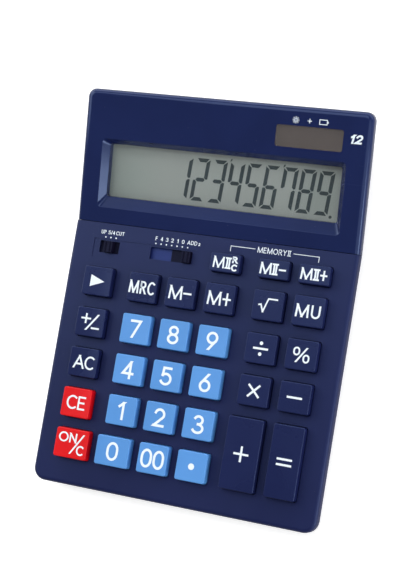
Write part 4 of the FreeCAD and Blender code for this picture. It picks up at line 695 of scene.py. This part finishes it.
# Legends of the keys: sign, place of its middle, width and height, in millimetres from the
# middle of the cap
DIGIT = (6.2, 9.4)
LEGENDS = {
    "key_zero": (("0", 0, 0, 6.5, 9.5),),
    "key_double_zero": (("0", -3.3, 0, 6.1, 9.5), ("0", 3.3, 0, 6.1, 9.5)),
    "key_point": (("dot", 0, 0, 3.2, 3.2),),
    "key_one": (("1", -0.3, 0, 3.4, 9.3),),
    "key_two": (("2", 0, 0, *DIGIT),),
    "key_three": (("3", 0.1, 0, *DIGIT),),
    "key_four": (("4", -0.2, 0, 6.8, 9.3),),
    "key_five": (("5", 0, 0, *DIGIT),),
    "key_six": (("6", 0, 0, *DIGIT),),
    "key_seven": (("7", 0, 0, *DIGIT),),
    "key_eight": (("8", 0, 0, *DIGIT),),
    "key_nine": (("9", 0, 0, *DIGIT),),
    "key_plus": (("+", 0, 0, 7.8, 7.8),),
    "key_equals": (("=", 0, 0, 7.8, 3.75),),
    "key_minus": (("-", 0, 0, 7.8, 1.3),),
    "key_times": (("x", 0, 0, 6.9, 7.0),),
    "key_divide": (("-", 0, 0, 7.8, 1.3), ("dot", 0, 2.7, 1.8, 1.8), ("dot", 0, -2.7, 1.8, 1.8)),
    "key_percent": (("0", -2.6, 1.6, 3.5, 4.3), ("0", 2.6, -1.6, 3.5, 4.3),
                    ("/", 0.05, 0, 5.4, 7.6)),
    "key_square_root": (("root", 0, 0, 9.8, 7.4),),
    "key_mark_up": (("M", -3.1, 0, 6.8, 6.5), ("U", 3.75, 0, 4.8, 6.5)),
    "key_memory_recall": (("M", -4.65, 0, 5.3, 6.6), ("R", 0.5, 0, 3.5, 6.6),
                          ("C", 4.85, 0, 4.0, 6.8)),
    "key_memory_minus": (("M", -2.5, 0, 7.3, 6.9), ("-", 3.9, 0, 4.5, 1.1)),
    "key_memory_plus": (("M", -2.5, 0, 7.3, 6.9), ("+", 4.1, 0, 4.4, 6.4)),
    "key_step_back": (("arrow", 0.2, 0, 7.9, 6.2),),
    "key_sign": (("+", -2.5, 1.7, 5.5, 5.2), ("/", 1.2, 0, 6.6, 8.6), ("-", 3.3, -3.0, 4.6, 1.1)),
    "key_all_clear": (("A", -2.3, 0, 6.1, 6.9), ("C", 3.6, 0, 5.5, 7.0)),
    "key_clear_entry": (("C", -2.45, 0, 5.7, 7.2), ("E", 3.1, 0, 4.3, 7.0)),
    "key_on_clear": (("O", -4.7, 2.9, 5.4, 5.2), ("N", 0.65, 2.9, 4.1, 5.0),
                     ("/", 3.2, 0, 7.0, 10.6), ("C", 5.4, -2.9, 4.1, 5.1)),
    "key_second_memory_recall": (("M", -3.3, 0, 6.0, 5.8), ("second", 1.7, 0, 3.2, 5.8),
                                 ("R", 5.05, 2.0, 2.8, 3.4), ("C", 5.1, -2.0, 3.1, 3.6)),
    "key_second_memory_minus": (("M", -4.0, 0, 6.0, 5.8), ("second", 0.8, 0, 3.2, 5.8),
                                ("-", 4.6, 0, 3.8, 1.0)),
    "key_second_memory_plus": (("M", -3.9, 0, 6.0, 5.8), ("second", 1.1, 0, 3.2, 5.8),
                               ("+", 4.85, 0, 3.7, 5.0)),
}
# Share of the usual stroke that these keys' signs are drawn with
SMALLER_STROKES = {
    **dict.fromkeys(("key_square_root", "key_plus", "key_minus", "key_times", "key_divide",
                     "key_equals"), 0.82),
    **dict.fromkeys(("key_on_clear", "key_second_memory_recall"), 0.88),
    **dict.fromkeys(("key_second_memory_minus", "key_second_memory_plus"), 0.92),
    "key_percent": 0.9,
}
LARGE_FIGURES = {
    "key_" + word for word in
    "zero double_zero one two three four five six seven eight nine plus minus times divide equals"
    .split()}

# Scales on the deck: text, place of its middle across and up the slope, and its height
STOP_PITCH = 2.95
ROUNDING_STOPS = tuple(-58.4 + STOP_PITCH * stop for stop in range(3))
DECIMAL_STOPS = tuple(-29.9 + STOP_PITCH * stop for stop in range(7))
# Place up the slope and width of the dot at a stop
STOP_DOT = (129.6, 0.8)
DECK_TEXTS = (
    ("UP", -59.9, 132.2, 2.0), ("5/4", -55.4, 132.2, 2.0), ("CUT", -50.5, 132.2, 2.0),
    *((sign, x, 132.2, 2.1) for sign, x in zip("F43210", DECIMAL_STOPS)),
    ("ADD", -10.1, 132.2, 2.1), ("2", -6.2, 131.9, 1.5),
)
# The bracket's left, right, foot and top, and the space on each side of its text
BRACKET = (10.65, 57.3, 130.6, 133.5)
BRACKET_TEXT = ("MEMORY", 33.8, 133.2, 2.9)
BRACKET_ROOM = 1.2
# Signs on the head: a sun and a cell over the solar window, and the number of figures
POWER_SIGNS = (("sun", 37.8, 62.0, 3.6, 3.6), ("+", 44.9, 62.0, 2.2, 2.2),
               ("cell", 52.2, 62.0, 4.8, 2.6))
COUNT_SIGNS = (("1", 67.2, 55.25, 1.9, 4.5), ("2", 70.6, 55.25, 3.5, 4.5))
COUNT_STROKE = 1.0
# Stroke of the bracket's text and the power signs, as a share of the small stroke
BOLDER = 1.2
COUNT_LEAN = 0.21
LETTER_WIDTHS = {"M": 0.95, "1": 0.36, "O": 0.85, "C": 0.78, "A": 0.82, "/": 0.36,
                 "D": 0.75, "second": 0.66, "F": 0.55, "E": 0.55, "P": 0.6, "T": 0.7}
USUAL_WIDTH = 0.66
LETTER_GAP = 0.13


def typeset(text, x, y, height, stroke):
    """Places and sizes of the letters of a word whose middle is at x, y."""
    widths = [LETTER_WIDTHS.get(letter, USUAL_WIDTH) * height for letter in text]
    left = x - (sum(widths) + LETTER_GAP * height * (len(text) - 1)) / 2
    placed = []
    for letter, width in zip(text, widths):
        placed.append((letter, left + width / 2, y, max(width, stroke), height))
        left += width + LETTER_GAP * height
    return placed


# Modelling

def only(*objects):
    """Selects these objects and no others, the first one active."""
    bpy.ops.object.select_all(action="DESELECT")
    for obj in objects:
        obj.select_set(True)
    bpy.context.view_layer.objects.active = objects[0]


# Height of the bars that a plan is cut from, and how high above its plane it starts to fall
PLAN_HEIGHT = 1.0
START_ABOVE = 8.0
# Width of the strips of a plan that follows a dished or curved surface
STRIP = 1.5


def bar_from(outlines, name):
    """A flat-ended bar with this plan, centred on the drawing plane."""
    curve = bpy.data.curves.new(name, "CURVE")
    curve.dimensions = "2D"
    curve.fill_mode = "BOTH"
    curve.extrude = PLAN_HEIGHT / 2
    for outline in outlines:
        spline = curve.splines.new("POLY")
        spline.points.add(len(outline) - 1)
        for point, place in zip(spline.points, outline):
            point.co = (place.x, place.y, 0.0, 1.0)
        spline.use_cyclic_u = True
    bar = bpy.data.objects.new(name, curve)
    bpy.context.scene.collection.objects.link(bar)
    only(bar)
    bpy.ops.object.convert(target="MESH")
    bpy.ops.object.mode_set(mode="EDIT")
    bpy.ops.mesh.select_all(action="SELECT")
    bpy.ops.mesh.remove_doubles(threshold=1e-4)
    bpy.ops.mesh.normals_make_consistent(inside=False)
    bpy.ops.object.mode_set(mode="OBJECT")
    return bpy.context.object


def unite(bars):
    """One solid from overlapping bars."""
    base = bars[0]
    for other in bars[1:]:
        only(base)
        joined = base.modifiers.new("Unite", "BOOLEAN")
        joined.operation = "UNION"
        joined.solver = "EXACT"
        joined.object = other
        bpy.ops.object.modifier_apply(modifier=joined.name)
        bpy.data.objects.remove(other)
    return base


def select_faces(obj, wanted):
    """Opens an object in edit mode with the faces selected that the test wants."""
    only(obj)
    bpy.ops.object.mode_set(mode="EDIT")
    bpy.ops.mesh.select_mode(type="FACE")
    bpy.ops.mesh.select_all(action="DESELECT")
    bpy.ops.object.mode_set(mode="OBJECT")
    for face in obj.data.polygons:
        face.select = wanted(face)
    bpy.ops.object.mode_set(mode="EDIT")


def keep_top(plan):
    """Leaves only the upper faces of a bar, merged where they are flat."""
    select_faces(plan, lambda face: face.normal.z < 0.9)
    bpy.ops.mesh.delete(type="FACE")
    bpy.ops.mesh.select_all(action="SELECT")
    bpy.ops.mesh.dissolve_limited(angle_limit=math.radians(0.5))
    bpy.ops.object.mode_set(mode="OBJECT")


def slice_across(plan, step):
    """Cuts a plan into strips so that it can follow a dished surface."""
    only(plan)
    xs = [v.co.x for v in plan.data.vertices]
    first = math.floor(min(xs) / step) + 1
    last = math.ceil(max(xs) / step) - 1
    bpy.ops.object.mode_set(mode="EDIT")
    for index in range(first, last + 1):
        bpy.ops.mesh.select_all(action="SELECT")
        bpy.ops.mesh.bisect(plane_co=(index * step, 0, 0), plane_no=(1, 0, 0))
    bpy.ops.object.mode_set(mode="OBJECT")


def lay_on(node, name, shapes, place, above, below, material, step=None):
    """Lays shapes of a thin film on the surface of a node, and makes them ride with it."""
    bars = [bar_from(outlines, name) for outlines in shapes]
    plan = unite(bars)
    keep_top(plan)
    if step:
        slice_across(plan, step)
    plan.name = plan.data.name = name
    plan.matrix_world = place @ Matrix.Translation((0, 0, START_ABOVE))
    only(plan)
    drape = plan.modifiers.new("Drape", "SHRINKWRAP")
    drape.target = frame["nodes"][node]
    drape.wrap_method = "PROJECT"
    drape.use_project_z = True
    drape.use_positive_direction = False
    drape.use_negative_direction = True
    bpy.ops.object.modifier_apply(modifier="Drape")
    bpy.ops.object.transform_apply(location=True, rotation=True, scale=True)
    film = plan.modifiers.new("Film", "SOLIDIFY")
    film.thickness = above + below
    film.offset = (above - below) / (above + below)
    bpy.ops.object.modifier_apply(modifier="Film")
    plan.data.materials.clear()
    plan.data.materials.append(material)
    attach(plan, frame["nodes"][node]["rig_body"])
    return plan


def ink():
    colours = bpy.context.scene.calculator_colours
    return bpy.data.materials.get("print_ink") or print_ink("print_ink", colours.ink)


def print_shapes(node, name, shapes, place, step=None):
    """Prints shapes on a node in white ink."""
    printing = bpy.context.scene.calculator_printing
    return lay_on(node, name, shapes, place, printing.ink_above, printing.ink_below, ink(), step)


def print_signs(node, name, signs, place, stroke, step=None, lean=0.0):
    """Prints signs on a node in white ink, leaning to the right by a slope."""
    shapes = []
    for sign in signs:
        for shape in sign_outlines(*sign, stroke):
            shapes.append([[Vector((p.x + lean * (p.y - sign[2]), p.y)) for p in outline]
                           for outline in shape])
    return print_shapes(node, name, shapes, place, step)


# Operators

class CALCULATOR_OT_finish(bpy.types.Operator):
    """Give every construction piece the finish of its material slot"""
    bl_idname = "calculator.finish"
    bl_label = "Finish the pieces"

    def execute(self, context):
        makers = finish_makers(context.scene.calculator_colours)
        for part in frame["record"]["subparts"]:
            slot = part["material_slot"]
            material = bpy.data.materials.get("finish_" + slot) or makers[slot]("finish_" + slot)
            node = frame["nodes"][part["node"]]
            node.data.materials.clear()
            node.data.materials.append(material)
        return {"FINISHED"}


class CALCULATOR_OT_key_legends(bpy.types.Operator):
    """Print the figures and signs on the key caps, following their dished tops"""
    bl_idname = "calculator.key_legends"
    bl_label = "Key legends"

    def execute(self, context):
        printing = context.scene.calculator_printing
        for node, signs in LEGENDS.items():
            x, y, _ = cap_top(node)
            large = node in LARGE_FIGURES
            stroke = (printing.figure_stroke if large else printing.letter_stroke) / MM
            stroke *= SMALLER_STROKES.get(node, 1.0)
            name = node.replace("key_", "legend_")
            place = DECK @ Matrix.Translation((x, y, 0))
            print_signs(node, name, signs, place, stroke, STRIP)
        return {"FINISHED"}


class CALCULATOR_OT_switch_scales(bpy.types.Operator):
    """Print the stops and the scales of the two slide switches"""
    bl_idname = "calculator.switch_scales"
    bl_label = "Switch scales"

    def execute(self, context):
        stroke = context.scene.calculator_printing.small_stroke / MM
        up, across = STOP_DOT
        for name, stops in (("rounding_stops", ROUNDING_STOPS), ("decimal_stops", DECIMAL_STOPS)):
            dots = [("dot", x, up, across, across) for x in stops]
            print_signs("keyboard_case", name, dots, DECK, stroke)
        for index, (text, x, y, height) in enumerate(DECK_TEXTS, start=1):
            signs = typeset(text, x, y, height, stroke)
            print_signs("keyboard_case", f"scale_text_{index}", signs, DECK, stroke)
        return {"FINISHED"}


class CALCULATOR_OT_memory_bracket(bpy.types.Operator):
    """Print the bracket that groups the keys of the second memory"""
    bl_idname = "calculator.memory_bracket"
    bl_label = "Memory bracket"

    def execute(self, context):
        stroke = context.scene.calculator_printing.small_stroke / MM
        text, x, y, height = BRACKET_TEXT
        letters = typeset(list(text) + ["second"], x, y, height, stroke)
        print_signs("keyboard_case", "bracket_text", letters, DECK, stroke * BOLDER, STRIP)
        left, right, foot, top = BRACKET
        first, last = letters[0], letters[-1]
        text_left = first[1] - first[3] / 2 - BRACKET_ROOM
        text_right = last[1] + last[3] / 2 + BRACKET_ROOM
        for name, start, end in (("bracket_left", left, text_left),
                                 ("bracket_right", right, text_right)):
            corner = ("corner", (start + end) / 2, (foot + top) / 2, abs(end - start), top - foot)
            shapes = sign_outlines(*corner, stroke)
            if end < start:
                middle = (start + end) / 2
                shapes = [[[Vector((2 * middle - p.x, p.y)) for p in reversed(o)]
                           for o in shape] for shape in shapes]
            print_shapes("keyboard_case", name, shapes, DECK)
        return {"FINISHED"}


class CALCULATOR_OT_head_signs(bpy.types.Operator):
    """Print the signs of the power supply and the number of figures on the head"""
    bl_idname = "calculator.head_signs"
    bl_label = "Head signs"

    def execute(self, context):
        stroke = context.scene.calculator_printing.small_stroke / MM
        print_signs("display_cover", "power_signs", POWER_SIGNS, HEAD, stroke * BOLDER)
        print_signs("display_cover", "count_signs", COUNT_SIGNS, HEAD, COUNT_STROKE,
                    lean=COUNT_LEAN)
        return {"FINISHED"}


class CALCULATOR_OT_display_figures(bpy.types.Operator):
    """Lay the dark segments of the reading on the liquid-crystal panel"""
    bl_idname = "calculator.display_figures"
    bl_label = "Display figures"

    def execute(self, context):
        display = context.scene.calculator_display
        colours = context.scene.calculator_colours
        material = moulding("display_segment", colours.figure, 0.4, relief=0.000001, spread=0.05)
        foot, right = display.foot / MM, display.right / MM
        height, width = display.height / MM, display.width / MM
        pitch, mark = display.pitch / MM, display.mark / MM
        lean = math.tan(display.slant)
        digits = [sign for sign in display.reading if sign in LIT]
        left = right - lean * height - width - pitch * len(digits)
        for index, sign in enumerate(display.reading):
            if sign in LIT:
                left += pitch
                shapes = segment_outlines(sign, width, height, display.segment / MM)
            else:
                level = -mark * MARK_DROP if sign == "." else height + mark * MARK_DROP
                centre = width + mark
                shapes = [[Vector((centre + (u - 0.5) * mark, level + (v - 0.5) * mark))
                           for u, v in MARKS[sign]]]
            placed = [[Vector((left + p.x + lean * p.y, foot + p.y)) for p in o] for o in shapes]
            name = f"figure_{index + 1}"
            lay_on("display_panel", name, [[o] for o in placed], HEAD, *SEGMENT_FILM, material)
        return {"FINISHED"}


# Segments lit for each figure, clockwise from the top, then the middle one
LIT = {
    "0": "abcdef", "1": "bc", "2": "abged", "3": "abgcd", "4": "fgbc", "5": "afgcd",
    "6": "afgedc", "7": "fabc", "8": "abcdefg", "9": "abcdfg",
}
SEGMENT_GAP = 0.22
# How far a segment stands out of the panel and reaches into it, in metres
SEGMENT_FILM = (0.00002, 0.00001)
# How far a mark stands off the foot or the head of the figures, as a share of its size
MARK_DROP = 0.2
# The decimal point and the mark between thousands, in a square one wide and one high
MARKS = {
    ".": ring(0.5, 0.5, 0.5, 0.5),
    "'": [(0.2, 0.0), (0.75, 0.45), (0.9, 1.0), (0.35, 1.0)],
}


def segment_outlines(digit, width, height, thick):
    """Upright outlines of the lit segments of one figure, from its lower left corner."""
    half = height / 2
    cut = SEGMENT_GAP
    middle = [(thick * 0.55 + cut, half), (thick + cut, half + thick / 2),
              (width - thick - cut, half + thick / 2), (width - thick * 0.55 - cut, half),
              (width - thick - cut, half - thick / 2), (thick + cut, half - thick / 2)]
    top = [(cut + 0.4, height), (width - cut - 0.4, height),
           (width - thick - cut, height - thick), (thick + cut, height - thick)]
    left_upper = [(0.0, height - cut - 0.4), (thick, height - thick - cut),
                  (thick, half + thick / 2 + cut), (thick * 0.5, half + cut),
                  (0.0, half + cut + 0.3)]

    def over(points):
        return [(x, height - y) for x, y in reversed(points)]

    def across(points):
        return [(width - x, y) for x, y in reversed(points)]

    outlines = {
        "a": top, "d": over(top), "g": middle, "f": left_upper, "b": across(left_upper),
        "e": over(left_upper), "c": over(across(left_upper)),
    }
    return [[Vector(p) for p in outlines[segment]] for segment in LIT[digit]]


# The soft boxes: name, place, width and height, and the setting that holds the power
LAMPS = (
    ("main_box", (1.05, -0.45, 1.25), (1.3, 1.3), "key_power"),
    ("low_box", (1.0, -0.34, 0.22), (0.7, 0.40), "side_power"),
    ("back_box", (-0.12, 0.56, 1.30), (1.1, 0.9), "top_power"),
    ("left_box", (-0.92, 0.26, 0.76), (0.8, 0.8), "left_power"),
)
FLOOR_SIZE = 8.0
FLOOR_TOP = -0.0002
# From the first distance to the second, the floor's lift rises to white
LIFT_RISES = (0.25, 1.3)
# Brightness of the room, of the wall behind the calculator and of the horizon
ROOM_LEVEL = 0.23
WALL_LEVEL = 1.9
HORIZON_LEVEL = 0.45
CAMERA_PLACE = (0.2348, -0.06535, 0.6433)
CAMERA_RIGHT = (0.92681, 0.17989, -0.32963)
CAMERA_UP = (-0.13112, 0.97757, 0.16482)
CAMERA_CLIP = (0.01, 20.0)


class CALCULATOR_OT_stage(bpy.types.Operator):
    """Set up the floor, the soft light, the surroundings and the camera"""
    bl_idname = "calculator.stage"
    bl_label = "Stage"

    def execute(self, context):
        settings = context.scene.calculator_stage
        self.floor(settings)
        self.lamps(settings)
        self.surroundings()
        self.camera(settings)
        context.scene.view_settings.view_transform = "Standard"
        return {"FINISHED"}

    def floor(self, settings):
        bpy.ops.object.select_all(action="DESELECT")
        bpy.ops.mesh.primitive_plane_add(size=FLOOR_SIZE, location=(0, 0, FLOOR_TOP))
        floor = bpy.context.object
        floor.name = "floor"
        bpy.ops.object.transform_apply(location=True, rotation=True, scale=True)
        material, wiring, shader, _ = new_material("pale_floor")
        shade = wiring.noise(wiring.place(), 3.0)
        wiring.put(shader["Base Color"], wiring.blend(
            shade, linear(settings.floor, 0.995), linear(settings.floor)))
        shader["Roughness"].default_value = 0.9
        shader["Specular IOR Level"].default_value = 0.0
        # What is seen of the floor is lifted to white, while it lights the object as before.
        shader["Emission Color"].default_value = (1.0, 1.0, 1.0, 1.0)
        # Far from the lamps the lift makes up for their falling light.
        away = wiring.add("ShaderNodeVectorMath", {0: wiring.place()}, operation="LENGTH")
        lift = wiring.remap(away.outputs["Value"], *LIFT_RISES, settings.lift, 1.0)
        path = wiring.add("ShaderNodeLightPath").outputs
        wiring.put(shader["Emission Strength"], wiring.math(
            "MULTIPLY", path["Is Camera Ray"], lift))
        floor.data.materials.append(material)

    def lamps(self, settings):
        for name, place, (wide, high), power in LAMPS:
            light = bpy.data.lights.new(name, "AREA")
            light.shape = "RECTANGLE"
            light.size, light.size_y = wide, high
            light.energy = getattr(settings, power)
            lamp = bpy.data.objects.new(name, light)
            bpy.context.scene.collection.objects.link(lamp)
            lamp.location = place
            lamp.rotation_euler = Vector(place).to_track_quat("Z", "Y").to_euler()

    def surroundings(self):
        world = bpy.data.worlds.new("studio")
        world.use_nodes = True
        world.node_tree.nodes.clear()
        wiring = Wiring(world.node_tree)
        way = wiring.add("ShaderNodeTexCoord").outputs["Generated"]
        parts = wiring.add("ShaderNodeSeparateXYZ", {"Vector": way}).outputs
        low = wiring.remap(parts["Z"], 0.45, 0.66, 1.0, 0.0)
        behind = wiring.remap(parts["Y"], 0.1, 0.6)
        wall = wiring.math("MULTIPLY", low, behind)
        horizon = wiring.remap(parts["Z"], 0.1, 0.3, HORIZON_LEVEL, 0.0)
        level = wiring.math("MULTIPLY_ADD", wall, WALL_LEVEL,
                            wiring.math("ADD", horizon, ROOM_LEVEL))
        seen = wiring.add("ShaderNodeLightPath").outputs["Is Camera Ray"]
        level = wiring.math("MAXIMUM", level, seen)
        background = wiring.add("ShaderNodeBackground", {
            "Color": (1.0, 1.0, 1.0, 1.0), "Strength": level})
        output = wiring.add("ShaderNodeOutputWorld")
        wiring.put(output.inputs["Surface"], background.outputs[0])
        bpy.context.scene.world = world

    def camera(self, settings):
        camera = bpy.data.cameras.new("camera")
        camera.sensor_width = 36.0
        camera.lens = settings.lens
        camera.clip_start, camera.clip_end = CAMERA_CLIP
        holder = bpy.data.objects.new("camera", camera)
        bpy.context.scene.collection.objects.link(holder)
        right, up = Vector(CAMERA_RIGHT), Vector(CAMERA_UP)
        back = right.cross(up)
        turn = Matrix((right, up, back)).transposed().to_4x4()
        holder.matrix_world = Matrix.Translation(CAMERA_PLACE) @ turn
        bpy.context.scene.camera = holder


class CALCULATOR_PT_panel(bpy.types.Panel):
    """Settings and steps of the calculator"""
    bl_label = "Calculator"
    bl_idname = "CALCULATOR_PT_panel"
    bl_space_type = "VIEW_3D"
    bl_region_type = "UI"
    bl_category = "Calculator"

    def draw(self, context):
        for name, group in SETTINGS.items():
            box = self.layout.box()
            for setting in group.__annotations__:
                box.prop(getattr(context.scene, name), setting)
        for operator in STEPS:
            self.layout.operator(operator.bl_idname)


STEPS = (
    CALCULATOR_OT_finish,
    CALCULATOR_OT_key_legends,
    CALCULATOR_OT_switch_scales,
    CALCULATOR_OT_memory_bracket,
    CALCULATOR_OT_head_signs,
    CALCULATOR_OT_display_figures,
    CALCULATOR_OT_stage,
)


def register():
    for part in (*SETTINGS.values(), *STEPS, CALCULATOR_PT_panel):
        bpy.utils.register_class(part)
    for name, group in SETTINGS.items():
        setattr(bpy.types.Scene, name, bpy.props.PointerProperty(type=group))


def unregister():
    for name in SETTINGS:
        delattr(bpy.types.Scene, name)
    for part in reversed((*SETTINGS.values(), *STEPS, CALCULATOR_PT_panel)):
        bpy.utils.unregister_class(part)


def main():
    register()
    for operator in STEPS:
        group, name = operator.bl_idname.split(".")
        getattr(getattr(bpy.ops, group), name)()


if __name__ == "__main__":
    main()
